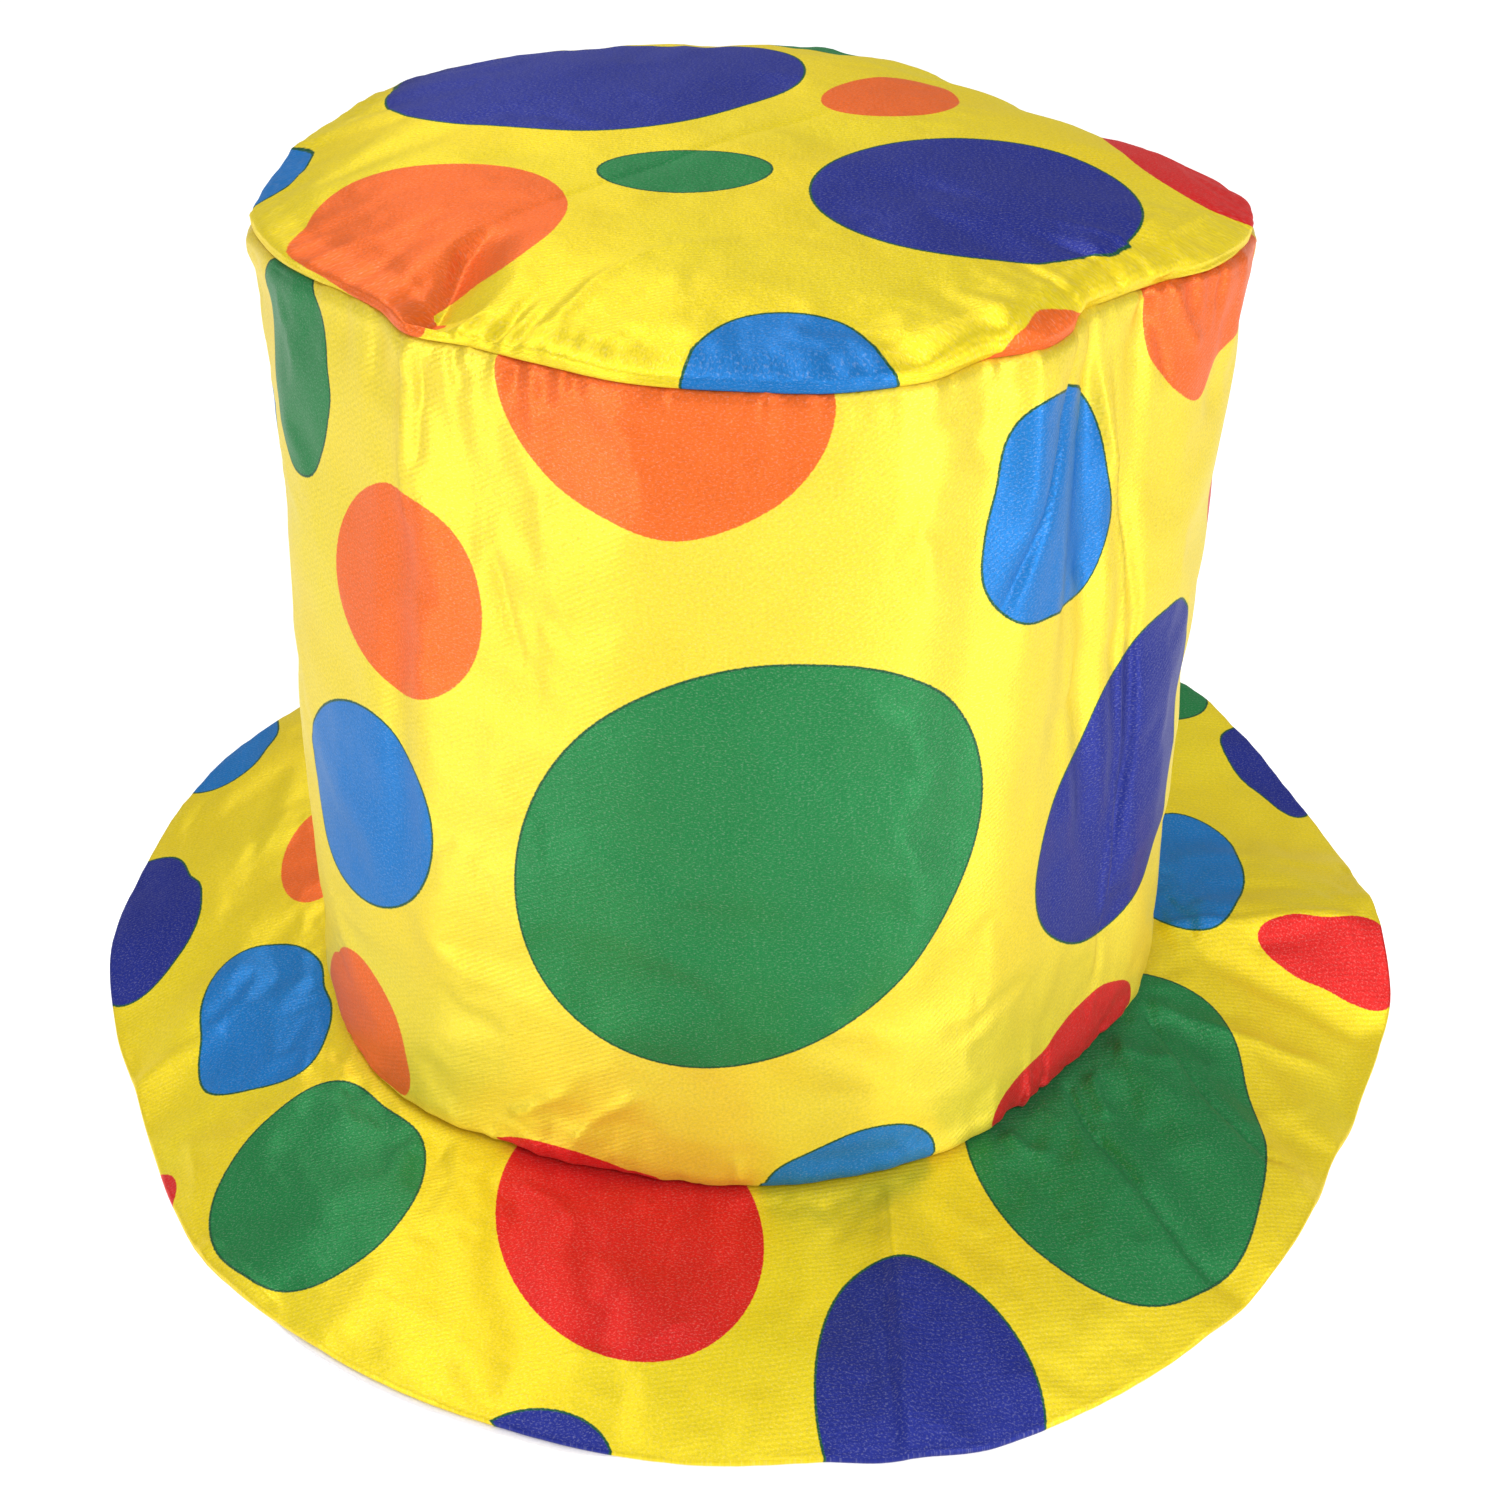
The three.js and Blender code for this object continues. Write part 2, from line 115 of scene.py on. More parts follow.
# Sharp creases: points along the crease, height, width on its left and right, in millimetres.
# On the wall a point is an angle and a height share, on the tip and the brim x and y
WALL_CREASES = [
    ([(-127, 0.99), (-127.4, 0.93), (-127.8, 0.86), (-128.2, 0.78)], 0.7, 1.2, 3.0),
    ([(-124.5, 0.99), (-125.2, 0.93), (-126, 0.86)], -0.5, 2.0, 1.4),
    ([(-116.5, 0.8), (-115.2, 0.74), (-113.4, 0.67)], -0.35, 1.0, 3.0),
    ([(-51, 0.99), (-51.5, 0.95), (-52.8, 0.89), (-55.8, 0.82), (-60, 0.745), (-62, 0.71)],
     -0.8, 1.2, 2.5),
    ([(-48.5, 0.99), (-48.4, 0.93), (-48.6, 0.87)], 0.3, 2.0, 2.0),
    ([(-45.7, 0.99), (-42.6, 0.87), (-38.2, 0.75), (-34.8, 0.59), (-34.5, 0.43), (-35.7, 0.26),
      (-36.3, 0.12)], 0.9, 3.0, 1.4),
    ([(-42.7, 0.97), (-38.7, 0.81), (-33, 0.61), (-31.6, 0.41), (-33, 0.25), (-34.4, 0.13),
      (-37.4, 0.06)], -0.8, 1.6, 3.0),
    ([(-33.4, 1), (-30, 0.95), (-26.5, 0.9)], 0.8, 1.8, 2.6),
    ([(-36.8, 0.99), (-33.6, 0.93), (-31, 0.87)], -0.6, 1.6, 2.0),
    ([(-119, 0.05), (-114.5, 0.09), (-109.5, 0.13)], 0.4, 1.6, 1.6),
    ([(-110.5, 0.04), (-108, 0.08), (-105, 0.11), (-100.5, 0.15)], 0.5, 1.6, 1.8),
    ([(-90.5, 0.06), (-90, 0.01)], 0.4, 1.5, 1.5),
]
TIP_CREASES = [
    ([(-57, -86), (-54, -69), (-51, -52), (-46, -43)], -1.7, 0.8, 6.0),
    ([(-46, -43), (-40, -36), (-31, -27), (-12, -8), (4, 8), (28, 27)], -0.28, 1.6, 3.0),
    ([(-31, -91), (-31, -82), (-26, -71), (-16, -59), (2, -51)], 0.3, 1.6, 2.6),
    ([(60, -78), (63, -70), (66, -62)], -0.9, 1.4, 2.4),
    ([(74, -55), (81, -43), (88, -31), (94, -20)], 0.8, 3.0, 1.8),
    ([(84, -49), (88, -42), (98, -28)], -0.6, 1.6, 1.8),
]
TIP_RIDGE = ([(30, -96), (50, -79), (63, -60), (76, -42), (86, -24)], 3.0, 12, 3.4)
BRIM_CREASES = [
    ([(102, -11), (122, -12), (141, -8), (160, -5)], 1.0, 1.6, 5.0),
    ([(126, -17), (136, -14), (151, -9)], -0.5, 2.0, 2.0),
    ([(-148, -48), (-130, -43), (-121, -33), (-117, -24)], 0.9, 1.3, 4.5),
    ([(32, -100), (32, -118), (33, -137), (33, -152), (34, -166)], 0.9, 3.5, 1.2),
    ([(72, -62), (76, -74), (79, -82), (84, -90), (88, -97), (93, -105), (98, -113), (107, -121)],
     -1.3, 4.0, 1.1),
    ([(95, -39), (100, -51), (104, -60), (108, -69), (114, -77), (119, -83), (132, -84)],
     -0.9, 2.4, 0.9),
    ([(97, -40), (110, -44), (120, -46), (132, -46), (147, -45)], 0.9, 3.0, 2.6),
    ([(81, -65), (82, -71), (84, -78)], 0.6, 1.1, 2.0),
    ([(76, -69), (78, -76), (81, -84)], 0.45, 1.0, 1.7),
    ([(87, -57), (95, -59), (103, -58)], 0.45, 2.4, 2.4),
    ([(59, -84), (64, -89), (71, -90)], 0.6, 2.4, 2.4),
    ([(109, -3), (114, -1), (119, -6)], 0.35, 2.6, 2.4),
    ([(86, -97), (87, -111)], -0.3, 1.0, 2.0),
    ([(-116, -106), (-111, -112), (-105, -119), (-100, -125), (-94, -131)], 0.5, 1.2, 1.6),
    ([(-126, -76), (-122, -87), (-120, -98)], 0.35, 1.2, 1.6),
    ([(-130, -74), (-115, -78), (-103, -71), (-96, -66)], 0.35, 2.0, 3.0),
    ([(-8, -102), (-14, -115), (-17, -129)], -0.35, 1.6, 4.0),
    ([(-36, -146), (-24, -144), (-8, -136)], 0.35, 2.0, 3.0),
    ([(-48, -100), (-39, -106), (-33, -116)], 0.3, 1.6, 2.4),
]

# Printed dots. An oval is its centre, half sizes, tilt in degrees and how far it narrows to one
# end; a free shape is its centre and its radii every 30 degrees. The centre is an angle and a
# height on the wall, and x and y elsewhere
WALL_DOTS = {
    "green": [
        ((-89.5, 108.6), (43, 54, -43, 0.05)),
        ((-150.7, 189), [12, 13, 19, 23, 24, 23, 21, 21, 24, 21, 15, 12]),
        ((38, 70), (24, 31, 20, 0.1)),
        ((118, 186), (19, 24, -30, 0.1)),
    ],
    "orange": [
        ((-130.8, 156.5), (24.6, 21, 43, 0.12)),
        ((-96.5, 207), [28, 29, 27, 26, 30, 34, 34, 29, 24.5, 24, 23.6, 25.4]),
        ((-146.3, 40), [22, 21, 19, 15, 12, 12, 17, 24, 24, 20, 20, 25]),
        ((-26.1, 200), [34, 30, 30, 25, 25, 24, 19, 15, 15, 17, 14, 20]),
        ((84, 132), (27, 34, 30, 0.05)),
        ((150, 60), (18, 15, 0, 0.1)),
    ],
    "blue": [
        ((-53, 177), [19.5, 18.5, 20.5, 24.2, 26, 19.6, 18.8, 21, 22, 22.5, 27.5, 25]),
        ((-141.2, 98.5), (29, 22.5, 39, 0.09)),
        ((-76.2, 28), [19, 16, 12.5, 10.5, 10, 12, 18, 22, 18, 18, 18, 19]),
        ((58, 196), (26, 19, -20, 0.1)),
        ((122, 44), (22, 17, 15, 0.1)),
        ((176, 168), (15, 21, 10, 0.05)),
    ],
    "navy": [
        ((-36.2, 97), [33, 41, 44, 32, 23.5, 22, 25.5, 30, 34, 38, 39, 36]),
        ((126, 118), (30, 24, 35, 0.1)),
        ((68, 62), (17, 21, 10, 0.1)),
        ((14, 188), (17, 22, 0, 0.1)),
    ],
    "red": [
        ((-41.2, 30), [28, 20, 13.5, 11.5, 11, 13, 26, 28, 22, 20, 20, 24]),
        ((-110, 22.5), (20, 6.5, -6, 0)),
        ((4, 152), (24, 36, 0, 0.1)),
        ((94, 200), (24, 17, 0, 0.1)),
        ((172, 108), (22, 27, -25, 0.08)),
        ((92, 30), (20, 12, 0, 0)),
    ],
}
TIP_DOTS = {
    "green": [((-10.5, -16.5), (17, 11.7, 1, 0.1)), ((22, 88), (17, 12, 0, 0))],
    "orange": [
        ((33.8, 31.2), (16.6, 13.7, 47, 0.19)),
        ((-58, -46), [24, 29, 34, 36, 38, 30, 20, 17, 21, 34, 25, 22]),
        ((55.5, -84), (21.5, 8.3, 49, 0)),
    ],
    "blue": [
        ((-98, 15), (7, 16, 0, 0)),
        ((10, -100), [17, 15, 16, 17, 18, 18, 19, 19, 19, 19, 18, 18]),
    ],
    "navy": [
        ((-31, 42), [44.5, 47, 40, 37, 39, 47, 47, 42, 35, 34, 34, 36.5]),
        ((46.3, -27.8), (32, 31, 0, 0)),
    ],
    "red": [((91, 9), (13, 26, 12, 0)), ((62, 78), (15, 11, -40, 0))],
}
BRIM_DOTS = {
    "green": [
        ((-93, -98), [24, 25, 25, 31, 27, 24, 23, 23, 24, 28, 26, 24]),
        ((86, -80), [33, 37.5, 52, 47, 30, 30, 35, 38, 42, 45, 39, 33]),
        ((-76, 122), (22, 27, 30, 0.1)),
        ((118, 96), (17, 14, 0, 0)),
    ],
    "orange": [
        ((-110, 20), (10, 21, 0, 0)),
        ((36, 132), (27, 18, 10, 0.1)),
    ],
    "blue": [
        ((-147, 80), [14, 15, 18, 18, 18, 16, 16, 18, 21, 22, 18, 14]),
        ((-114, -41), [16, 15, 20, 25, 26, 20, 16, 17.5, 21, 22, 24, 19]),
        ((117, 14), [13, 15, 22, 25, 20, 18, 18, 20, 26, 27, 18, 14]),
        ((-8, 148), (16, 13, 0, 0)),
    ],
    "navy": [
        ((-153, 8), [13, 13, 14, 22, 24, 20, 18, 18, 24, 29, 22, 16]),
        ((-39, -168), (14.5, 11, 0, 0)),
        ((38.6, -151.4), (31, 23, 90, 0.16)),
        ((152, 68), [12, 12, 14, 18, 18, 18, 15, 14, 14, 18, 14, 12]),
        ((82, 128), (20, 15, -50, 0.1)),
    ],
    "red": [
        ((-134, -90), (7.5, 10, 0, 0)),
        ((-23.9, -110.7), (27.4, 36.5, 21, -0.05)),
        ((147, -14), [20, 16, 9, 7, 8, 12, 18, 13, 9.5, 9, 12, 18]),
        ((110, 84), (9, 11, 0, 0)),
        ((-34, 118), (15, 20, 30, 0)),
        ((-118, 108), (12, 10, 0, 0)),
    ],
}
COLOURS = ["blue", "navy", "green", "orange", "red"]

# Stations round the hat, closest together where the cloth is folded
BANDS = [(-180, -128, 62), (-128, 12, 278), (12, 180, 140)]

# Rows across each panel
WALL_ROWS, WALL_INNER_ROWS, HEM_ROWS = 150, 22, 11
TIP_ROWS, TIP_INNER_ROWS, TIP_FOLD_ROWS, BROW_STEPS = 106, 26, 3, 6
BRIM_ROWS, BRIM_INNER_ROWS, LIP_ROWS = 100, 40, 5
LINING_ROWS = 60

# Places round and rows across the coarse panels that settle as cloth
WALL_GRID, BRIM_GRID = (280, 76), (300, 27)
TIP_STEP, TIP_HALF = 2.6, 43

# How much of the settled wrinkles each panel shows, and how tall one may be
WALL_WRINKLES, TIP_WRINKLES, BRIM_WRINKLES = 0.55, 0.55, 0.5
TALLEST_WRINKLE = 1.5

# Stored where no printed dot is near
FAR = 20.0


def add_object(name, data):
    obj = bpy.data.objects.new(name, data)
    bpy.context.scene.collection.objects.link(obj)
    return obj


def smooth(share):
    s = np.clip(share, 0, 1)
    return s * s * (3 - 2 * s)


def mix(a, b, share):
    return a + (b - a) * share


def turn_between(a, b):
    return (a - b + 540) % 360 - 180


def around(rows, column, angle):
    """One column of a table of rows round the hat, as a smooth curve through the rows."""
    place = np.array([row[0] for row in rows], float)
    value = np.array([row[column] for row in rows], float)
    place = np.r_[place[-2:] - 360, place, place[:2] + 360]
    value = np.r_[value[-2:], value, value[:2]]
    slope = np.diff(value) / np.diff(place)
    before, after = slope[:-1], slope[1:]
    total = np.where(before + after == 0, 1, before + after)
    tangent = np.r_[0, np.where(before * after <= 0, 0, 2 * before * after / total), 0]
    turned = turn_between(angle, 0)
    k = np.clip(np.searchsorted(place, turned, "right") - 1, 1, len(place) - 3)
    span = place[k + 1] - place[k]
    t = (turned - place[k]) / span
    start = mix(value[k], value[k + 1], t * t * (3 - 2 * t))
    return start + span * t * (1 - t) * (tangent[k] * (1 - t) - tangent[k + 1] * t)


def fold_shape(offset, ahead, behind):
    width = np.where(offset < 0, ahead, behind)
    return smooth(1 - np.abs(offset) / width)


def ripples(x, y, seed, count, shortest, longest):
    """A smooth uneven field of waves between two lengths, about -1 to 1."""
    rng = np.random.default_rng(seed)
    total = np.zeros(np.broadcast(x, y).shape)
    for _ in range(count):
        length = mix(shortest, longest, rng.random())
        way = rng.random() * math.tau
        phase = rng.random() * math.tau
        total += np.cos((x * math.cos(way) + y * math.sin(way)) * math.tau / length + phase)
    return total / math.sqrt(count)


def near_to(x, y, points, reach):
    """Which of the points x, y lie in the box round a line, or close to it."""
    low, high = points.min(0) - reach, points.max(0) + reach
    return (x > low[0]) & (x < high[0]) & (y > low[1]) & (y < high[1])


def from_piece(x, y, start, stop):
    """Place along a straight piece from 0 to 1, distance from it, and side, above 0 on its left."""
    dx, dy = stop - start
    ax, ay = x - start[0], y - start[1]
    t = np.clip((ax * dx + ay * dy) / (dx * dx + dy * dy + 1e-9), 0, 1)
    return t, np.hypot(ax - t * dx, ay - t * dy), dx * ay - dy * ax


def crease_field(x, y, creases):
    """Height that sharp creases add at flat points x, y."""
    total = np.zeros(x.shape)
    for points, height, left, right in creases:
        points = np.array(points, float)
        near = near_to(x, y, points, 4 * max(left, right))
        px, py = x[near], y[near]
        best = np.full(px.shape, np.inf)
        side, along = np.zeros(px.shape), np.zeros(px.shape)
        steps = np.hypot(*np.diff(points, axis=0).T)
        run = np.r_[0, np.cumsum(steps)] / steps.sum()
        for k in range(len(points) - 1):
            t, away, left_of = from_piece(px, py, points[k], points[k + 1])
            closer = away < best
            best = np.where(closer, away, best)
            side = np.where(closer, left_of, side)
            along = np.where(closer, mix(run[k], run[k + 1], t), along)
        width = np.where(side > 0, left, right)
        fade = smooth(along * 6 + 0.25) * smooth((1 - along) * 4 + 0.1)
        total[near] += height * fade * np.exp(-((best / width) ** 1.25))
    return total


def weights(t):
    """Weights of four neighbours in a row for a smooth curve from the second to the third."""
    return (
        0.5 * (-t + 2 * t**2 - t**3), 0.5 * (2 - 5 * t**2 + 3 * t**3),
        0.5 * (t + 4 * t**2 - 3 * t**3), 0.5 * (-(t**2) + t**3),
    )


def outline(centre, shape):
    """Points round a printed dot."""
    if isinstance(shape, list):
        count = len(shape)
        turn = np.arange(0, count, 0.1)
        k = turn.astype(int)
        r = np.array(shape, float)
        radius = sum(w * r[(k + j) % count] for j, w in zip((-1, 0, 1, 2), weights(turn - k)))
        angle = turn / count * math.tau
        return np.c_[centre[0] + radius * np.cos(angle), centre[1] + radius * np.sin(angle)]
    across, up, tilt, narrowing = shape
    t = np.linspace(0, math.tau, 120, endpoint=False)
    v = up * np.sin(t)
    u = across * np.cos(t) * (1 + narrowing * np.sin(t))
    c, s = math.cos(math.radians(tilt)), math.sin(math.radians(tilt))
    return np.c_[centre[0] + u * c - v * s, centre[1] + u * s + v * c]


def dot_field(x, y, dots, turn=None):
    """Distance outside the nearest dot, negative inside one. turn is the length of a full round."""
    nearest = np.full(x.shape, FAR)
    for centre, shape in dots:
        ring = outline(centre, shape)
        shifts = (0,) if turn is None else (-turn, 0, turn)
        for shift in shifts:
            near = near_to(x + shift, y, ring, 6)
            if not near.any():
                continue
            px, py = x[near] + shift, y[near]
            best = np.full(px.shape, np.inf)
            inside = np.zeros(px.shape, bool)
            for start, stop in zip(ring, np.roll(ring, -1, 0)):
                _, away, left_of = from_piece(px, py, start, stop)
                best = np.minimum(best, away)
                upwards = stop[1] > start[1]
                spans = (start[1] > py) != (stop[1] > py)
                inside ^= spans & ((left_of > 0) == upwards)
            nearest[near] = np.minimum(nearest[near], best * np.where(inside, -1, 1))
    return nearest


def stations():
    return np.concatenate([mix(a, b, np.arange(n) / n) for a, b, n in BANDS])


angles = stations()
turns = np.radians(angles)
ARC = math.radians(1) * CROWN_RADIUS
FULL = 360 * ARC

foot_r = CROWN_RADIUS * around(SEAM, 1, angles)
top_r = CROWN_RADIUS * around(RIM, 1, angles)
top_z = SEAT + CROWN_HEIGHT * (1 - around(RIM, 2, angles))


def polar(r, z, turn=turns[:, None]):
    """Points in metres from radii and heights in millimetres, at the stations if not told."""
    return np.stack([r * np.cos(turn), r * np.sin(turn), z], -1) * MM


def ring_mesh(name, points, flat, axis_points=None):
    """One closed body from loops round the hat. points and flat are station by row, flat in mm."""
    count, rows = points.shape[:2]
    verts = points.reshape(-1, 3)
    at = np.arange(count * rows).reshape(count, rows)
    nxt = np.roll(at, -1, 0)
    spans = rows if axis_points is None else rows - 1
    here, there = at[:, :spans], nxt[:, :spans]
    up_here, up_there = np.roll(at, -1, 1)[:, :spans], np.roll(nxt, -1, 1)[:, :spans]
    faces = np.stack([here, there, up_there, up_here], -1).reshape(-1, 4).tolist()
    extra = []
    if axis_points is not None:
        first = len(verts)
        verts = np.vstack([verts, [[0, 0, z * MM] for z in axis_points]])
        extra = [[first, int(nxt[j, 0]), int(at[j, 0])] for j in range(count)]
        extra += [[first + 1, int(at[j, -1]), int(nxt[j, -1])] for j in range(count)]
    mesh = bpy.data.meshes.new(name)
    mesh.from_pydata(verts.tolist(), [], faces + extra)
    mesh.update()
    layer = mesh.uv_layers.new(name="cloth")
    corner = np.empty(len(mesh.loops), int)
    mesh.loops.foreach_get("vertex_index", corner)
    flat_all = np.vstack([flat.reshape(-1, 2), np.zeros((len(verts) - count * rows, 2))])
    uv = flat_all[corner]
    if axis_points is None:
        quad = uv[: len(faces) * 4].reshape(-1, 4, 2)
        wrap = quad[:, :, 0].max(1) - quad[:, :, 0].min(1) > FULL / 2
        low = quad[:, :, 0] < 0
        quad[:, :, 0] = np.where(wrap[:, None] & low, quad[:, :, 0] + FULL, quad[:, :, 0])
        uv[: len(faces) * 4] = quad.reshape(-1, 2)
    layer.data.foreach_set("uv", (uv / 100).astype(np.float32).ravel())
    mesh.polygons.foreach_set("use_smooth", np.ones(len(mesh.polygons), bool))
    return add_object(name, mesh)


def paint(obj, x, y, dots, turn=None, extra=0):
    """Stores the distances to the printed dots on the mesh, one value for each colour."""
    data = np.stack([dot_field(x, y, dots[c], turn).ravel() for c in COLOURS], -1)
    data = np.vstack([data, np.full((extra, len(COLOURS)), FAR)])
    for name, columns in (("dots_a", (0, 1, 2)), ("dots_b", (3, 4, 4))):
        layer = obj.data.attributes.new(name, "FLOAT_VECTOR", "POINT")
        layer.data.foreach_set("vector", data[:, columns].astype(np.float32).ravel())


def side_mask(obj, name, values, extra=()):
    """Stores one value for each point of the mesh, with the values of its axis points last."""
    layer = obj.data.attributes.new(name, "FLOAT", "POINT")
    full = np.r_[values.ravel(), list(extra)]
    layer.data.foreach_set("value", full.astype(np.float32))


def normals(points, closed=True):
    """Unit normals of loops of points round the hat, pointing out of the body."""
    round_way = np.roll(points, -1, 0) - np.roll(points, 1, 0)
    if closed:
        along = np.roll(points, -1, 1) - np.roll(points, 1, 1)
    else:
        along = np.gradient(points, axis=1)
    n = np.cross(round_way, along)
    return n / np.maximum(np.linalg.norm(n, axis=-1, keepdims=True), 1e-12)


def arc_rows(centre_r, centre_z, radius, start, stop, steps):
    a = np.radians(np.linspace(start, stop, steps))
    return centre_r[:, None] + radius * np.cos(a), centre_z[:, None] + radius * np.sin(a)


def gathers(seed, spacing, busy):
    """Small uneven gathers along a seam: place, width, height and how far each runs."""
    rng = np.random.default_rng(seed)
    place, found = -FULL / 2, []
    while place < FULL / 2:
        place += spacing * mix(0.5, 1.6, rng.random())
        width, height, run = mix(0.9, 2.4, rng.random()), rng.normal() * 0.5, rng.random()
        height *= busy(place / ARC)
        if abs(height) > 0.03:
            found.append((place, width, height, run))
    return found


def gather_field(x, down, marks, shortest, longest, lean=0.0):
    """Height of gathers at lengths x round a seam and distances down from it."""
    total = np.zeros(x.shape)
    for place, width, height, run in marks:
        reach = mix(shortest, longest, run)
        at = place + lean * (run - 0.5) * down
        off = (x - at + FULL / 2) % FULL - FULL / 2
        spread = width * (1 + down / reach)
        total += height * np.exp(-((off / spread) ** 2) - (down / reach) ** 1.5)
    return total


def stitch_field(x, down, seed, spacing):
    """Height of the small puckers that the stitches of a seam leave, alike all round."""
    return 0.4 * gather_field(x, down, gathers(seed, spacing, lambda angle: 1.0), 1.5, 4)


def bump(angle, centre, width):
    return np.exp(-((turn_between(angle, centre) / width) ** 2))


def top_busy(angle):
    return 0.5 + 1.7 * bump(angle, -34, 20) + 0.7 * bump(angle, -126, 12) + 0.4 * bump(angle, 60, 60)


def base_busy(angle):
    return 0.45 + 1.3 * bump(angle, -38, 15) + 0.7 * bump(angle, -108, 14)


def settle(name, points, faces, pins, slack, pressure, frames=16):
    """Lets a coarse copy of a panel settle as cloth a little larger than its place. Returns the
    new points. pins holds how firmly each point keeps its place, from 0 to 1."""
    mesh = bpy.data.meshes.new(name)
    mesh.from_pydata(points.tolist(), [], faces)
    obj = add_object(name, mesh)
    group = obj.vertex_groups.new(name="pins")
    for k, weight in enumerate(pins):
        group.add([k], float(weight), "REPLACE")
    cloth = obj.modifiers.new("cloth", "CLOTH")
    settings = cloth.settings
    settings.quality = 5
    settings.mass = 0.15
    settings.tension_stiffness = settings.compression_stiffness = 12
    settings.shear_stiffness = 4
    settings.bending_stiffness = 0.6
    settings.air_damping = 4
    settings.vertex_group_mass = "pins"
    settings.pin_stiffness = 1
    settings.shrink_min = settings.shrink_max = -slack
    settings.use_pressure = True
    settings.uniform_pressure_force = pressure
    settings.effector_weights.gravity = 0
    cloth.collision_settings.use_collision = False
    cloth.collision_settings.use_self_collision = False
    scene = bpy.context.scene
    for f in range(1, frames + 1):
        scene.frame_set(f)
    settled = obj.evaluated_get(bpy.context.evaluated_depsgraph_get())
    moved = np.empty(len(mesh.vertices) * 3, np.float32)
    settled.data.vertices.foreach_get("co", moved)
    bpy.data.objects.remove(obj)
    bpy.data.meshes.remove(mesh)
    scene.frame_set(1)
    return moved.reshape(-1, 3).astype(float)


def read_grid(grid, u, v, wrap):
    """Reads a grid of values at fractional places, as a smooth surface."""
    rows, columns = grid.shape
    i, j = np.floor(u).astype(int), np.floor(v).astype(int)
    total = np.zeros(np.broadcast(u, v).shape)
    for a, wa in enumerate(weights(u - i), -1):
        k = (i + a) % rows if wrap else np.clip(i + a, 0, rows - 1)
        for b, wb in enumerate(weights(v - j), -1):
            total += wa * wb * grid[k, np.clip(j + b, 0, columns - 1)]
    return total


def settle_ring(name, grid, pins, slack, pressure):
    """How far each point of a ring of cloth moves as it settles, in mm. pins has one row's
    weights."""
    count, rows = grid.shape[:2]
    faces = [[j * rows + k, (j + 1) % count * rows + k, (j + 1) % count * rows + k + 1,
              j * rows + k + 1] for j in range(count) for k in range(rows - 1)]
    pins = np.broadcast_to(pins, (count, rows)).ravel()
    new = settle(name, grid.reshape(-1, 3), faces, pins, slack, pressure)
    return (new.reshape(grid.shape) - grid) / MM


def wrinkles(moved, wrap, passes, cap):
    """The short waves of a settled panel, without its broad puff."""
    def shifted(grid, step, axis):
        if axis == 0 and wrap:
            return np.roll(grid, step, 0)
        size = grid.shape[axis]
        return np.take(grid, np.clip(np.arange(size) - step, 0, size - 1), axis)

    broad = moved
    for _ in range(passes):
        for axis in (0, 1):
            broad = 0.5 * broad + 0.25 * (shifted(broad, 1, axis) + shifted(broad, -1, axis))
    return cap * np.tanh((moved - broad) / cap)


def slide(even, moved, closed=True):
    """How far wrinkles would move a dot as it is seen from the front, in mm. The dots were charted
    from there on the even cloth."""
    look = moved / MM - EYE
    look = look / np.linalg.norm(look, axis=-1, keepdims=True)
    face = normals(even, closed)
    facing = -(look * face).sum(-1)
    step = (moved - even) / MM
    away = (step * face).sum(-1)
    total = step + look * (away / np.maximum(facing, 0.3))[..., None]
    return total * smooth((facing - 0.08) / 0.32)[..., None]


def loops(parts):
    """Joins rows of (radius, height, flat x, flat y, weight of the fine shape) into loops."""
    count = len(angles)
    rows = [[np.broadcast_to(v, (count, np.shape(part[0])[1])) for v in part] for part in parts]
    return [np.concatenate([row[k] for row in rows], 1) for k in range(len(rows[0]))]


# Wall

share = np.linspace(0.012, 0.988, WALL_ROWS)[None, :]
angle = angles[:, None]
belly = 1.6 * (np.maximum(0, -np.sin(turns)) - 0.75 * np.maximum(0, np.cos(turns)) - 0.35)


def wall_face(share, grooves=WALL_GROOVES):
    """Radius and height of the wall's outer face."""
    r = mix(foot_r[:, None], top_r[:, None], share) + belly[:, None] * 4 * share * (1 - share)
    for top_angle, foot_angle, top, foot, depth, width in grooves:
        along = (share - foot) / (top - foot)
        line = mix(foot_angle, top_angle, along)
        fade = smooth(along * 4) * smooth((1 - share) * 12)
        r = r - depth * fade * fold_shape(turn_between(angle, line), width, width)
    return r, mix(SEAT, top_z[:, None], share)


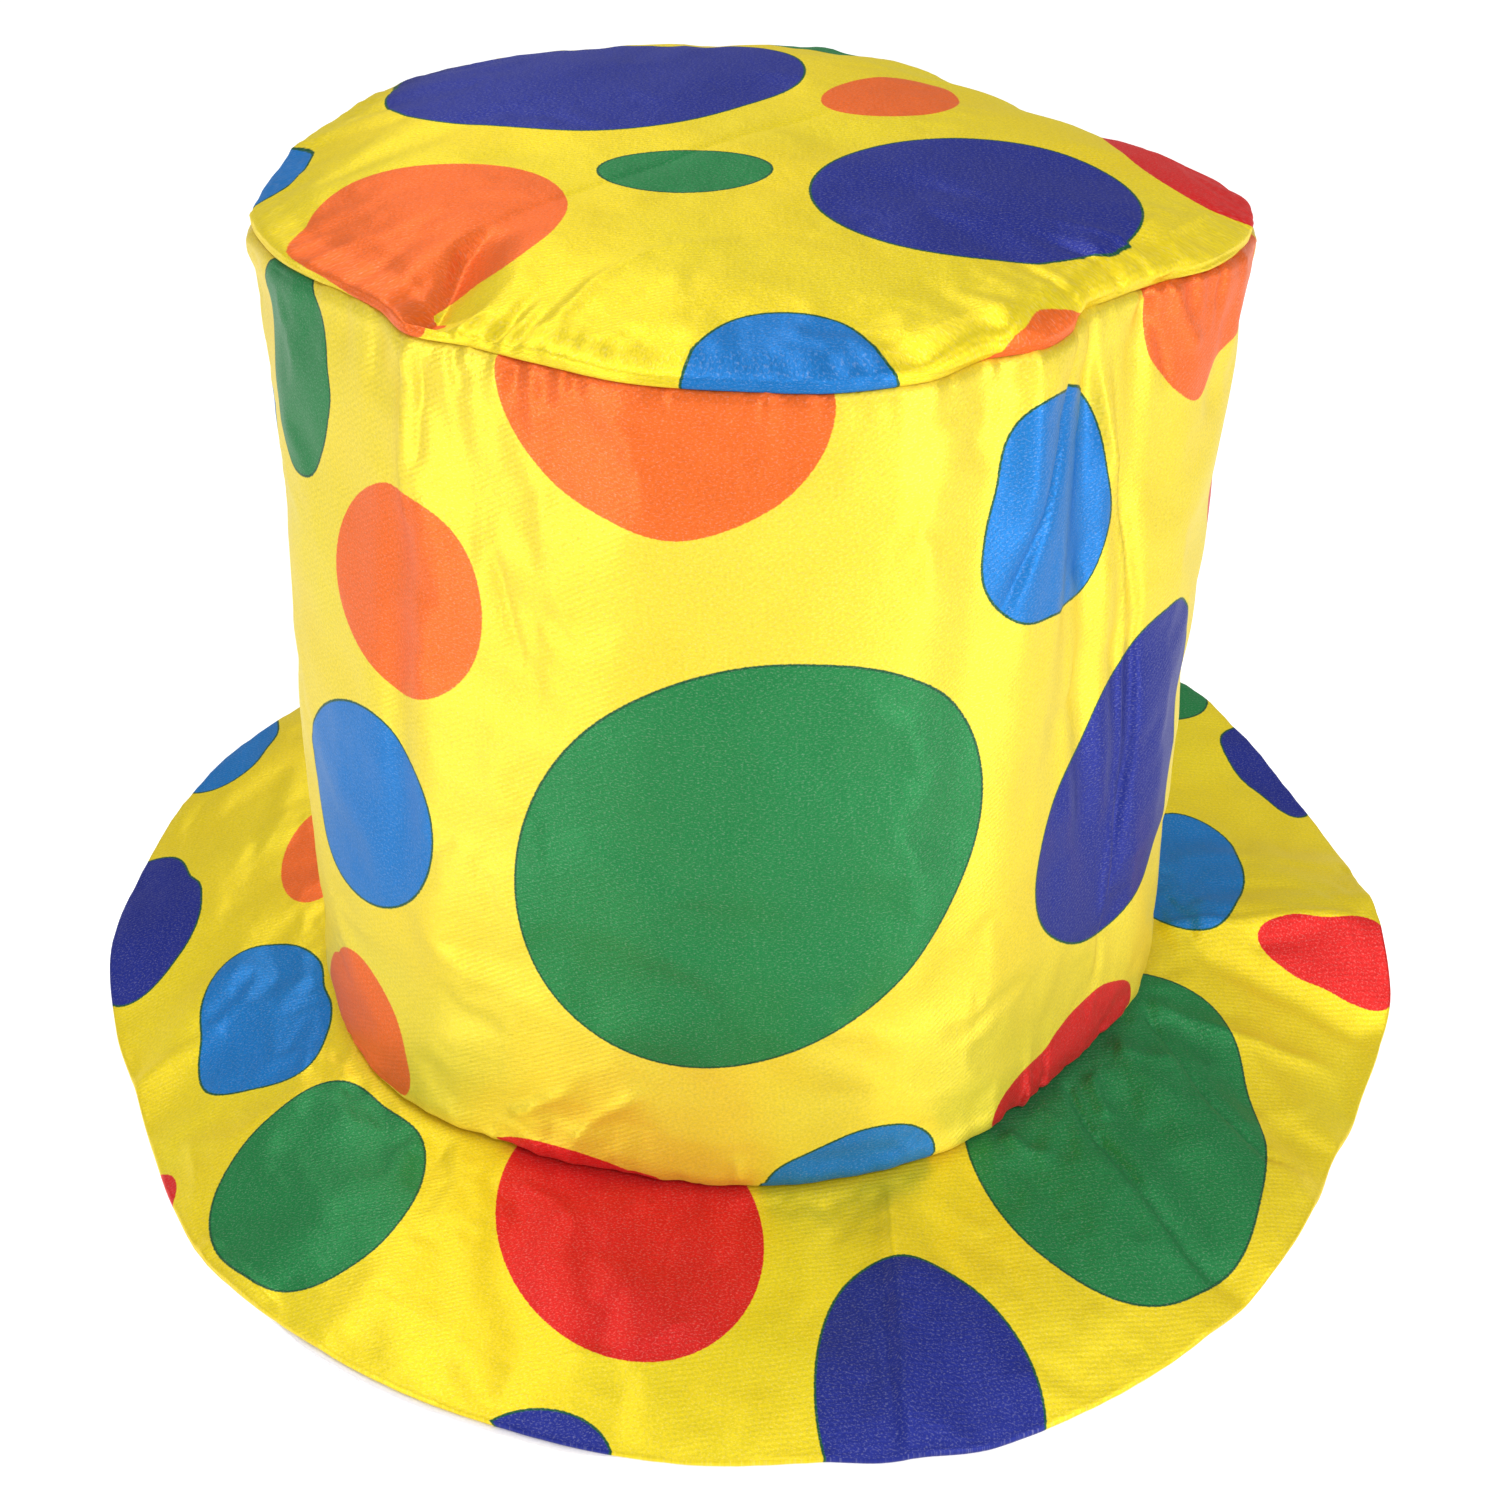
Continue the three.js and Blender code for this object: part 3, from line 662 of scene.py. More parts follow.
wall_x = angle * ARC
out_r, out_z = wall_face(share)
in_share = np.linspace(0.95, 0.05, WALL_INNER_ROWS)[None, :]
in_r, in_z = wall_face(in_share)
top_c = (top_r - HEM_RADIUS, top_z - HEM_RADIUS)
foot_c = (foot_r - HEM_RADIUS, np.full_like(foot_r, SEAT + HEM_RADIUS))
hem_r, hem_z = arc_rows(*top_c, HEM_RADIUS, 8, 172, HEM_ROWS)
heel_r, heel_z = arc_rows(*foot_c, HEM_RADIUS, 188, 352, HEM_ROWS)
hem_fall = np.linspace(0.95, 0, HEM_ROWS)[None, :]
flap = ALLOWANCE - HEM_RADIUS
R, Z, X, Y, W = loops([
    (out_r, out_z, wall_x, out_z, np.ones_like(out_z)),
    (hem_r, hem_z, wall_x, out_z[:, -1:] + np.linspace(0.5, 6, HEM_ROWS), hem_fall),
    (np.stack([top_c[0] - HEM_RADIUS, top_c[0] - HEM_RADIUS + SEAM_CLOTH], 1),
     np.stack([top_c[1] - flap, top_c[1] - flap - SEAM_CLOTH], 1), wall_x, 230, 0),
    (in_r - CLOTH, in_z, wall_x, in_z, -0.8),
    (np.stack([foot_c[0] - HEM_RADIUS + SEAM_CLOTH, foot_c[0] - HEM_RADIUS], 1),
     np.stack([foot_c[1] + flap + SEAM_CLOTH, foot_c[1] + flap], 1), wall_x, 10, 0),
    (heel_r, heel_z, wall_x, SEAT - 6 + np.linspace(0, 5.5, HEM_ROWS), hem_fall[:, ::-1]),
])


def wall_fine(x, y):
    """Fine shape of the wall's cloth, in millimetres outwards."""
    share = np.clip((y - SEAT) / CROWN_HEIGHT, 0, 1)
    total = 0.3 * ripples(x, y * 0.5, 3, 9, 30, 80) + 0.07 * ripples(x, y * 0.5, 4, 9, 12, 26)
    total *= smooth((FULL / 2 - np.abs(x)) / 20)
    creases = [([(a * ARC, SEAT + s * CROWN_HEIGHT) for a, s in points], *rest)
               for points, *rest in WALL_CREASES]
    total += 2 * crease_field(x, y, creases)
    down = np.maximum(0, 0.988 - share) * CROWN_HEIGHT
    up = np.maximum(0, share - 0.012) * CROWN_HEIGHT
    total += gather_field(x, down, gathers(11, 5.5, top_busy), 7, 26, 0.25)
    total += 0.8 * gather_field(x, up, gathers(12, 7.0, base_busy), 5, 18, 0.25)
    return total + stitch_field(x, down, 13, 2.8) + stitch_field(x, up, 14, 2.8)


def wall_settled(x, y):
    """How far the wall's cloth puffs and wrinkles between its seams, from a cloth simulation."""
    count, rows = WALL_GRID
    a = -180 + 360 * np.arange(count)[:, None] / count
    s = np.linspace(0.01, 0.99, rows)[None, :]
    foot, top = CROWN_RADIUS * around(SEAM, 1, a), CROWN_RADIUS * around(RIM, 1, a)
    z = mix(SEAT, SEAT + CROWN_HEIGHT * (1 - around(RIM, 2, a)), s)
    r = mix(foot, top, s) + 0.3 * ripples(a * ARC, z, 5, 7, 18, 40) * smooth((180 - np.abs(a)) / 9)
    turn = np.radians(a)
    pins = np.full(rows, 0.06)
    pins[0] = pins[-1] = 1
    moved = settle_ring("wall_settling", polar(r, z, turn), pins, slack=0.015, pressure=0.5)
    moved = moved[..., 0] * np.cos(turn) + moved[..., 1] * np.sin(turn)
    moved = wrinkles(moved, True, 40, TALLEST_WRINKLE)
    share = np.clip((y - SEAT) / (top_z[:, None] - SEAT), 0.01, 0.99)
    u = (x / ARC + 180) / 360 * count
    return read_grid(moved, u, (share - 0.01) / 0.98 * (rows - 1), True)


fine = wall_fine(X, Y)
fine = fine + WALL_WRINKLES * wall_settled(X, Y)
even = polar(R, Z)
points = even + normals(even) * (fine * W * MM)[..., None]
wall = ring_mesh("crown_wall_cloth", points, np.stack([X, Y], -1))
even[:, :WALL_ROWS] = polar(*wall_face(share, []))
moved = slide(even, points)
around_way = moved[..., 1] * np.cos(turns)[:, None] - moved[..., 0] * np.sin(turns)[:, None]
placed = {c: [((a * ARC, z), shape) for (a, z), shape in WALL_DOTS[c]] for c in COLOURS}
paint(wall, X + around_way * CROWN_RADIUS / R, Y + moved[..., 2], placed, turn=FULL)
outer = np.zeros(X.shape)
outer[:, :WALL_ROWS + HEM_ROWS] = 1
outer[:, -HEM_ROWS:] = 1
side_mask(wall, "printed", outer)
# Painted shade: a mask that fades out from the top and base seams, which darkens the satin's colour
# towards brown in the seams' grooves
seam_shade = np.exp(-np.maximum(0, np.minimum(top_z[:, None] - Z, Z - SEAT)) / 1.4) * outer
side_mask(wall, "seam", seam_shade)


# Tip

tip_middle = SEAT + CROWN_HEIGHT + TIP_RISE
edge_r = (top_r - HEM_RADIUS * 2)[:, None]
edge_z = (top_z + TIP_ROLL)[:, None]


def tip_face(share):
    """Radius and height of the tip's upper face, with its dent at the front left."""
    along = (share - 0.5) / 0.5
    line = mix(-137, -126, along)
    groove = fold_shape(turn_between(angle, line), 9, 9)
    dent = 0.3 * TIP_RISE * smooth(along) * groove
    return edge_r * share, mix(tip_middle, edge_z, share**5) - dent


def curve(stops, steps):
    """A smooth run of rows through a few (radius, height) columns."""
    share = weights(np.linspace(0, 1, steps, endpoint=False)[None, :])
    runs = []
    for column in zip(*stops):
        v = np.stack(column, 1)
        runs.append(np.concatenate([
            sum(w * v[:, k + j, None] for j, w in zip((-1, 0, 1, 2), share))
            for k in range(1, len(stops) - 2)], 1))
    return runs


c_r, c_z = top_c
tuck = HEM_RADIUS + GAP
below_share = np.linspace(0.03, 0.93, TIP_INNER_ROWS)[None, :]
below_r, below_z = tip_face(below_share)
top_share = (0.955 - 0.935 * np.linspace(0, 1, TIP_ROWS) ** 1.05)[None, :]
face_r, face_z = tip_face(top_share)
tuck_r, tuck_z = arc_rows(c_r, c_z, HEM_RADIUS + 0.12, 180, 66, 9)
brow_r, brow_z = curve([
    (tuck_r[:, -2], tuck_z[:, -2]), (tuck_r[:, -1], tuck_z[:, -1]),
    (c_r + 1.1, c_z + HEM_RADIUS + 0.9), (c_r + 0.2, c_z + HEM_RADIUS + 2.5),
    (face_r[:, 0], face_z[:, 0]), (face_r[:, 4], face_z[:, 4]),
], BROW_STEPS)
brow_r, brow_z = brow_r[:, 1:], brow_z[:, 1:]
lowest = c_z + HEM_RADIUS - ALLOWANCE
rise = np.linspace(0, 1, brow_r.shape[1])[None, :]
xs, ys = np.cos(turns)[:, None], np.sin(turns)[:, None]


def plan(r):
    return r * xs, r * ys


below_x, below_y = plan(below_r)
edge_x, edge_y = plan(edge_r)
face_x, face_y = plan(face_r)
R, Z, X, Y, W = loops([
    (below_r - SEAM_CLOTH * below_share, below_z - CLOTH, below_x, below_y,
     -0.8 * smooth((0.95 - below_share) * 8)),
    (np.stack([c_r - tuck - CLOTH, c_r - tuck - SEAM_CLOTH, c_r - tuck], 1),
     np.stack([c_z, lowest, lowest], 1), edge_x, edge_y, 0),
    (tuck_r, tuck_z, edge_x * 1.04, edge_y * 1.04, 0),
    (brow_r, brow_z, edge_x * mix(1.03, 0.96, rise), edge_y * mix(1.03, 0.96, rise), smooth(rise)),
    (face_r, face_z, face_x, face_y, 1),
])


def tip_fine(x, y):
    """Fine shape of the tip's cloth upwards, in millimetres."""
    total = 0.35 * ripples(x, y, 21, 8, 50, 120) + 0.1 * ripples(x, y, 22, 9, 16, 34)
    total += 1.9 * crease_field(x, y, TIP_CREASES)
    return total + crease_field(x, y, [TIP_RIDGE])


def tip_settled(x, y):
    """How far the tip's cloth puffs and wrinkles, from a cloth simulation on a square grid."""
    place = TIP_STEP * np.arange(-TIP_HALF, TIP_HALF + 1)
    gx, gy = np.meshgrid(place, place, indexing="ij")
    turned = np.degrees(np.arctan2(gy, gx))
    rim = CROWN_RADIUS * around(RIM, 1, turned) - 2 * HEM_RADIUS
    part = np.hypot(gx, gy) / rim
    inside = part < 1
    gz = mix(tip_middle, SEAT + CROWN_HEIGHT * (1 - around(RIM, 2, turned)) + TIP_ROLL,
             np.minimum(part, 1) ** 5) + 0.4 * ripples(gx, gy, 24, 7, 20, 45)
    number = -np.ones(gx.shape, int)
    number[inside] = np.arange(inside.sum())
    faces = []
    for i in range(len(place) - 1):
        for j in range(len(place) - 1):
            face = [number[i, j], number[i + 1, j], number[i + 1, j + 1], number[i, j + 1]]
            if min(face) >= 0:
                faces.append([int(v) for v in face])
    pins = np.where(part[inside] > 0.965, 1, 0.03)
    grid = np.stack([gx, gy, gz], -1)[inside] * MM
    new = settle("tip_settling", grid, faces, pins, slack=0.015, pressure=0.4)
    moved = np.zeros(gx.shape)
    moved[inside] = (new - grid)[:, 2] / MM
    moved = wrinkles(moved, False, 30, TALLEST_WRINKLE)
    return read_grid(moved, x / TIP_STEP + TIP_HALF, y / TIP_STEP + TIP_HALF, False)


fine = tip_fine(X, Y)
fine = fine + TIP_WRINKLES * tip_settled(X, Y)
inward = np.maximum(0, edge_r - np.hypot(X, Y))
run = np.broadcast_to(wall_x, X.shape)
fine = fine + gather_field(run, inward, gathers(23, 5.5, top_busy), 4, 15, 0.3)
fine = fine + stitch_field(run, inward, 24, 2.8)
even = polar(R, Z)
points = even + normals(even, closed=False) * (fine * W * MM)[..., None]
even[:, -TIP_ROWS:] = polar(edge_r * top_share, mix(tip_middle, edge_z, top_share**5))
moved = slide(even, points, closed=False)
tip = ring_mesh("crown_tip_cloth", points, np.stack([X, Y], -1),
                axis_points=[tip_middle - CLOTH, tip_middle + fine[:, -1].mean()])
paint(tip, X + moved[..., 0], Y + moved[..., 1], TIP_DOTS, extra=2)
outer = np.zeros(X.shape)
outer[:, TIP_INNER_ROWS + TIP_FOLD_ROWS:] = 1
side_mask(tip, "printed", outer, extra=(0, 1))
# Painted shade: a mask that fades out from the tip's seam, which darkens the satin's colour towards
# brown in the seam's groove
seam_shade = np.exp(-np.maximum(0, Z - c_z[:, None] - HEM_RADIUS) / 1.0) * outer
side_mask(tip, "seam", seam_shade, extra=(0, 0))


# Brim

longer = 0.035 * bump(angles, 42, 22) + 0.03 * bump(angles, 140, 22) + 0.04 * bump(angles, -10, 12)
reach = (HEM_RADIUS + BRIM_WIDTH * (around(EDGE, 1, angles) + longer))[:, None]
droop = (BRIM_WIDTH * around(EDGE, 2, angles))[:, None]
brim_in = (foot_r - HEM_RADIUS)[:, None]


def brim_cloth(share):
    """Thickness of the brim's cloth."""
    return mix(CLOTH, BRIM_EDGE, smooth((share - 0.76) / 0.24))


def brim_base(share):
    """Height of the brim's upper face before its fine shape."""
    z = SEAT - GAP - droop * mix(share, share * share, 0.25) + 1.5 * np.sin(np.pi * share)
    for seam_angle, edge_angle, height, ahead, behind, start in BRIM_FOLDS:
        along = np.maximum(0, share - start) / (1 - start)
        line = mix(seam_angle, edge_angle, share)
        crest = fold_shape(turn_between(angle, line), ahead, behind)
        z = z + height * smooth(along * 3) * crest
    return z


def brim_settling():
    """How far the brim's cloth wrinkles, from a cloth simulation of its printed layer."""
    count, rows = BRIM_GRID
    a = -180 + 360 * np.arange(count)[:, None] / count
    s = np.linspace(0, 1, rows)[None, :]
    wide = HEM_RADIUS + BRIM_WIDTH * around(EDGE, 1, a)
    r = CROWN_RADIUS * around(SEAM, 1, a) - HEM_RADIUS + wide * s
    x, y = r * np.cos(np.radians(a)), r * np.sin(np.radians(a))
    z = SEAT - BRIM_WIDTH * around(EDGE, 2, a) * mix(s, s * s, 0.25) + 1.5 * np.sin(np.pi * s)
    z = z + 0.3 * ripples(x, y, 35, 7, 16, 36)
    pins = np.full(rows, 0.06)
    pins[0], pins[1], pins[-1] = 1, 0.4, 0.4
    moved = settle_ring("brim_settling", polar(r, z, np.radians(a)), pins, slack=0.02, pressure=0.3)
    return wrinkles(moved[..., 2], True, 40, TALLEST_WRINKLE)


brim_moved = brim_settling()
brim_marks = gathers(31, 6.5, base_busy)
edge_marks = gathers(32, 9.0, lambda a: 0.5 + 0.9 * bump(a, -135, 12) + 0.3 * bump(a, -20, 30))


def brim_fine(x, y, share, small):
    """Fine shape of the brim's cloth upwards; small is how much of the fine gathers it shows."""
    total = 0.45 * ripples(x, y, 33, 9, 40, 90) + 0.1 * ripples(x, y, 34, 9, 15, 30)
    total += 2.0 * crease_field(x, y, BRIM_CREASES)
    u, v = (angle + 180) / 360 * BRIM_GRID[0], np.clip(share, 0, 1) * (BRIM_GRID[1] - 1)
    total += BRIM_WRINKLES * read_grid(brim_moved, u, v, True)
    run = np.broadcast_to(wall_x, x.shape)
    out = np.maximum(0, share) * reach
    back = np.maximum(0, 1 - share) * reach
    gathered = 1.3 * small * gather_field(run, out, brim_marks, 5, 20, 0.3)
    total += 0.75 * np.tanh(gathered / 0.75)
    total += small * stitch_field(run, out, 35, 3.0)
    total += 0.7 * small * gather_field(run, back, edge_marks, 3, 10, 0.3)
    return total * smooth((share - 0.03) / 0.09)


def soft_floor(z, low):
    """Keeps cloth above a height, bending softly onto it."""
    return 0.5 * (z + low + np.sqrt((z - low) ** 2 + 0.6))


def brim_top(share):
    """Radius, height and flat place of the brim's upper face."""
    r = brim_in + reach * share
    x, y = plan(r)
    z = brim_base(share) + brim_fine(x, y, share, 1)
    return r, soft_floor(z, brim_cloth(share) + GAP + LINING), x, y


def brim_under(share, cloth_share, more):
    """Underside of the brim's cloth, deeper straight down where the cloth is steep."""
    r = brim_in + reach * share
    x, y = plan(r)
    z = brim_base(share) + brim_fine(x, y, share, 0) * 0.6
    z = soft_floor(z, brim_cloth(share) + GAP + LINING)
    depth = brim_cloth(share) * cloth_share + more
    across = np.gradient(z, axis=1) / np.gradient(r, axis=1) if share.shape[1] > 1 else 0
    turned = (np.roll(z, -1, 0) - np.roll(z, 1, 0)) / (
        r * np.radians((np.roll(angles, -1) - np.roll(angles, 1)) % 360)[:, None])
    steep = np.minimum(1.25, np.sqrt(1 + across**2 + turned**2))
    low = brim_cloth(share) + GAP + LINING - depth
    return r, np.maximum(z - depth * steep, low), x, y


top_share = (0.985 - 0.975 * np.linspace(0, 1, BRIM_ROWS))[None, :]
low_share = np.linspace(0.07, 0.985, BRIM_INNER_ROWS)[None, :]
t_r, t_z, t_x, t_y = brim_top(top_share)
u_r, u_z, u_x, u_y = brim_under(low_share, 1, 0)
turn_r, turn_z = arc_rows(foot_c[0], foot_c[1], tuck, 268, 180, 7)
fold_r, fold_z = arc_rows(foot_c[0], foot_c[1], tuck + SEAM_CLOTH, 180, 240, 5)
crest = foot_c[1] - HEM_RADIUS + ALLOWANCE
lip_r = brim_in + reach + np.cos(np.linspace(-1.2, 1.2, LIP_ROWS))[None, :] * 0.3 - 0.3
lip_top, lip_low = t_z[:, :1], u_z[:, -1:]
lip_z = mix(lip_low, lip_top, np.linspace(0.12, 0.88, LIP_ROWS)[None, :])
foot_x, foot_y = plan(foot_c[0][:, None])
rim_x, rim_y = plan(brim_in + reach)
R, Z, X, Y = loops([
    (lip_r, lip_z, rim_x, rim_y),
    (t_r, t_z, t_x, t_y),
    (turn_r, turn_z, foot_x, foot_y),
    (np.stack([foot_c[0] - tuck, foot_c[0] - tuck - SEAM_CLOTH], 1),
     np.stack([crest, crest], 1), foot_x, foot_y),
    (fold_r, fold_z, foot_x, foot_y),
    (u_r, u_z, u_x, u_y),
])
points = polar(R, Z)
brim = ring_mesh("brim_cloth", points, np.stack([X, Y], -1))
even_z = Z.copy()
part = (np.hypot(X, Y) - brim_in) / reach
printed = slice(LIP_ROWS, LIP_ROWS + BRIM_ROWS)
even_z[:, printed] = soft_floor(brim_base(part), brim_cloth(part) + GAP + LINING)[:, printed]
even_z[:, :LIP_ROWS] += (even_z - Z)[:, LIP_ROWS, None]
moved = slide(polar(R, even_z), points)
paint(brim, X + moved[..., 0], Y + moved[..., 1], BRIM_DOTS)
side_mask(brim, "printed", np.ones(X.shape))
# Painted shade: a mask near the base seam and along the brim's outer edge, which darkens the satin's
# colour towards brown there
from_seam = np.maximum(0, np.hypot(X, Y) - foot_r[:, None])
to_edge = np.maximum(0, brim_in + reach - np.hypot(X, Y))
side_mask(brim, "seam", np.exp(-from_seam / 1.2) + 0.4 * np.exp(-to_edge / 0.8))


# Lining

shows = smooth((16 - np.abs(turn_between(angles, -112))) / 6)[:, None]
rim_share = 1 + mix(-0.8, 0.7, shows) / reach
edge_share = np.linspace(0, 1, LINING_ROWS)[None, :]
lining_share = mix(0.07, rim_share, edge_share)
inner = tuck + SEAM_CLOTH + GAP
a_r, a_z, a_x, a_y = brim_under(lining_share, 1, GAP * 0.5)
b_r, b_z, b_x, b_y = brim_under(lining_share, 1, GAP * 0.5 + LINING)
in_r, in_z = arc_rows(foot_c[0], foot_c[1], inner, 240, 180, 5)
bk_r, bk_z = arc_rows(foot_c[0], foot_c[1], inner + LINING, 180, 240, 5)
lip_r = (a_r[:, -1:] + b_r[:, -1:]) / 2 + np.cos(np.linspace(-1.1, 1.1, 4))[None, :] * 0.25 - 0.1
lip_z = mix(b_z[:, -1:], a_z[:, -1:], np.linspace(0.15, 0.85, 4)[None, :])
R, Z, X, Y = loops([
    (lip_r, lip_z, rim_x, rim_y),
    (a_r[:, ::-1], a_z[:, ::-1], a_x[:, ::-1], a_y[:, ::-1]),
    (in_r, in_z, foot_x, foot_y),
    (np.stack([foot_c[0] - inner, foot_c[0] - inner - LINING], 1), np.stack([crest, crest], 1),
     foot_x, foot_y),
    (bk_r, bk_z, foot_x, foot_y),
    (b_r, b_z, b_x, b_y),
])
lining = ring_mesh("brim_lining_cloth", polar(R, Z), np.stack([X, Y], -1))


# Materials

class Nodes:
    """The nodes of a new material, and short calls that add to them."""

    def __init__(self, name):
        self.material = bpy.data.materials.new(name)
        self.material.use_nodes = True
        self.tree = self.material.node_tree
        self.tree.nodes.clear()
        self.shader = self.new("BsdfPrincipled")
        self.tree.links.new(self.shader.outputs[0], self.new("OutputMaterial").inputs[0])

    def new(self, kind):
        return self.tree.nodes.new("ShaderNode" + kind)

    def put(self, node, values):
        """Sets a node's sockets to numbers, or links other sockets to them."""
        for key, value in values.items():
            if isinstance(value, bpy.types.NodeSocket):
                self.tree.links.new(value, node.inputs[key])
            else:
                node.inputs[key].default_value = value

    def math(self, kind, a, b):
        node = self.new("Math")
        node.operation = kind
        self.put(node, {0: a, 1: b})
        return node.outputs[0]

    def scale(self, value, low, high, to_low=0.0, to_high=1.0):
        node = self.new("MapRange")
        self.put(node, {0: value, 1: low, 2: high, 3: to_low, 4: to_high})
        return node.outputs[0]

    def mix(self, share, a, b, kind="MIX"):
        node = self.new("Mix")
        node.data_type, node.blend_type = "RGBA", kind
        self.put(node, {0: share, 6: a, 7: b})
        return node.outputs[2]

    def noise(self, vector, scale, detail=2.0, rough=0.5):
        node = self.new("TexNoise")
        self.put(node, {"Vector": vector, "Scale": scale, "Detail": detail, "Roughness": rough})
        return node.outputs["Fac"]

    def stretch(self, vector, by, turn=0.0):
        node = self.new("Mapping")
        self.put(node, {"Vector": vector, "Rotation": (0, 0, math.radians(turn)), "Scale": by})
        return node.outputs[0]

    def attribute(self, name, output="Fac"):
        node = self.new("Attribute")
        node.attribute_name = name
        return node.outputs[output]

    def cloth(self):
        node = self.new("UVMap")
        node.uv_map = "cloth"
        return node.outputs[0]

    def split(self, vector):
        node = self.new("SeparateXYZ")
        self.put(node, {0: vector})
        return node.outputs

    def bump(self, height, strength, distance, **normal):
        node = self.new("Bump")
        self.put(node, {"Strength": strength, "Distance": distance, "Height": height, **normal})
        return node.outputs[0]


PRINT = {
    "yellow": (0.95, 0.77, 0.013, 1),
    # Painted highlight: a paler copy of the yellow for the wall, whose whiter tint stands in for the
    # sheen the wall catches from the lamps
    "yellow_with_painted_sheen": (0.95, 0.78, 0.052, 1),
    "blue": (0.006, 0.2, 0.6, 1),
    "navy": (0.012, 0.024, 0.28, 1),
    "green": (0.012, 0.23, 0.06, 1),
    "orange": (0.95, 0.16, 0.016, 1),
    "red": (0.76, 0.012, 0.01, 1),
    "outline": (0.006, 0.1, 0.035, 1),
    "backing": (0.78, 0.75, 0.68, 1),
}


def satin(name, thread_turn, yellow):
    """Printed satin: dots with crisp edges, twill lines, sparkle as bumps and as painted glints in
    the colour, and a foam-backed wrong side.
    """
    n = Nodes(name)
    uv = n.cloth()
    thread = n.noise(n.stretch(uv, (1, 1, 1), thread_turn), 160, 1.0)
    ragged = n.math("MULTIPLY", n.math("SUBTRACT", thread, 0.5), 0.35)
    first = n.split(n.attribute("dots_a", "Vector"))
    second = n.split(n.attribute("dots_b", "Vector"))
    away = {"blue": first[0], "navy": first[1], "green": first[2], "orange": second[0],
            "red": second[1]}
    broad = n.noise(uv, 2.2, 3.0)
    streak = n.noise(n.stretch(uv, (90, 9, 1), thread_turn), 1.0, 3.0)
    grain = n.noise(uv, 150, 2.0, 0.75)
    spark = n.noise(n.stretch(uv, (1, 1.6, 1), thread_turn), 170, 1.5, 0.8)
    base = n.mix(n.scale(broad, 0.3, 0.7), yellow, (yellow[0], yellow[1] - 0.05, yellow[2] * 0.7, 1))
    base = n.mix(n.scale(streak, 0.35, 0.7, 0, 0.1), base, (1.0, 0.8, 0.05, 1))
    for colour in ("red", "orange", "blue", "navy", "green"):
        edge = n.math("ADD", away[colour], ragged)
        ink = PRINT[colour]
        if colour in ("blue", "navy", "green"):
            rim = n.scale(edge, 0.42, 0.62, 1, 0)
            base = n.mix(rim, base, PRINT["outline"])
        tone = n.mix(n.scale(streak, 0.35, 0.72, 0, 0.15), ink,
                     tuple(min(1, v * 1.35 + 0.012) for v in ink[:3]) + (1,))
        base = n.mix(n.scale(edge, -0.1, 0.1, 1, 0), base, tone)
    base = n.mix(n.scale(grain, 0.3, 0.75, 0.0, 0.2), base, (0, 0, 0, 1), "MULTIPLY")
    # Painted highlight: screens pale glints from the sparkle noise into the colour, like light
    # caught by the satin's threads
    base = n.mix(n.scale(spark, 0.52, 0.74, 0.0, 0.16), base, (0.75, 0.75, 0.7, 1), "SCREEN")
    printed = n.attribute("printed")
    # Painted shade: darkens the colour towards brown near the seams and the brim's edge, following
    # the seam mask
    base = n.mix(n.math("MULTIPLY", n.attribute("seam"), 0.18), base, (0.35, 0.12, 0.01, 1),
                 "MULTIPLY")
    base = n.mix(printed, PRINT["backing"], base)
    glint = n.scale(n.noise(uv, 260, 1.0, 0.6), 0.42, 0.7, 0.5, 0.36)
    rough = n.math("ADD", glint, n.scale(streak, 0.3, 0.7, -0.015, 0.02))
    tangent = n.new("Tangent")
    tangent.direction_type, tangent.uv_map = "UV_MAP", "cloth"
    twill = n.new("TexWave")
    twill.bands_direction = "X"
    n.put(twill, {"Vector": n.stretch(uv, (1, 1, 1), thread_turn + 58), "Scale": 29,
                  "Distortion": 0.8, "Detail": 1})
    height = n.math("ADD", n.math("MULTIPLY", twill.outputs["Fac"], 0.3),
                    n.math("MULTIPLY", n.math("ADD", grain, spark), 0.6))
    soft = n.bump(n.noise(uv, 12, 4.0, 0.6), 0.25, 0.001)
    n.put(n.shader, {
        "Base Color": base,
        "Roughness": n.mix(printed, (0.9, 0.9, 0.9, 1), rough),
        "Specular IOR Level": 0.6,
        "Specular Tint": n.mix(0.6, base, (1, 1, 1, 1)),
        "Metallic": 0.45,
        "Anisotropic": 0.8,
        "Anisotropic Rotation": 0.25,
        "Tangent": tangent.outputs[0],
        "Sheen Weight": 0.02,
        "Sheen Roughness": 0.35,
        "Sheen Tint": (1, 0.95, 0.8, 1),
        "Normal": n.bump(height, 0.4, 0.00022, Normal=soft),
    })
    return n.material


def knit(name):
    """Matt white brushed knit."""
    n = Nodes(name)
    uv = n.cloth()
    broad = n.noise(uv, 3.0, 3.0)
    fuzz = n.noise(uv, 120, 3.0, 0.7)
    ribs = n.noise(n.stretch(uv, (90, 14, 1)), 1.0, 2.0)
    base = n.mix(n.scale(broad, 0.3, 0.7), (0.86, 0.84, 0.84, 1), (0.8, 0.76, 0.77, 1))
    base = n.mix(n.scale(fuzz, 0.35, 0.7, 0, 0.5), base, (0.93, 0.9, 0.91, 1))
    height = n.math("ADD", n.math("MULTIPLY", fuzz, 0.6), n.math("MULTIPLY", ribs, 0.5))
    n.put(n.shader, {"Base Color": base, "Roughness": 0.92, "Sheen Weight": 0.35,
                     "Sheen Roughness": 0.6, "Normal": n.bump(height, 0.5, 0.0005)})
    return n.material


# The wall gets the paler yellow, a painted sheen; the tip and brim get the plain yellow
satin_wall = satin("printed_satin_wall", 0, PRINT["yellow_with_painted_sheen"])
satin_flat = satin("printed_satin_flat", 20, PRINT["yellow"])
wall.data.materials.append(satin_wall)
tip.data.materials.append(satin_flat)
brim.data.materials.append(satin_flat)
lining.data.materials.append(knit("brushed_knit"))

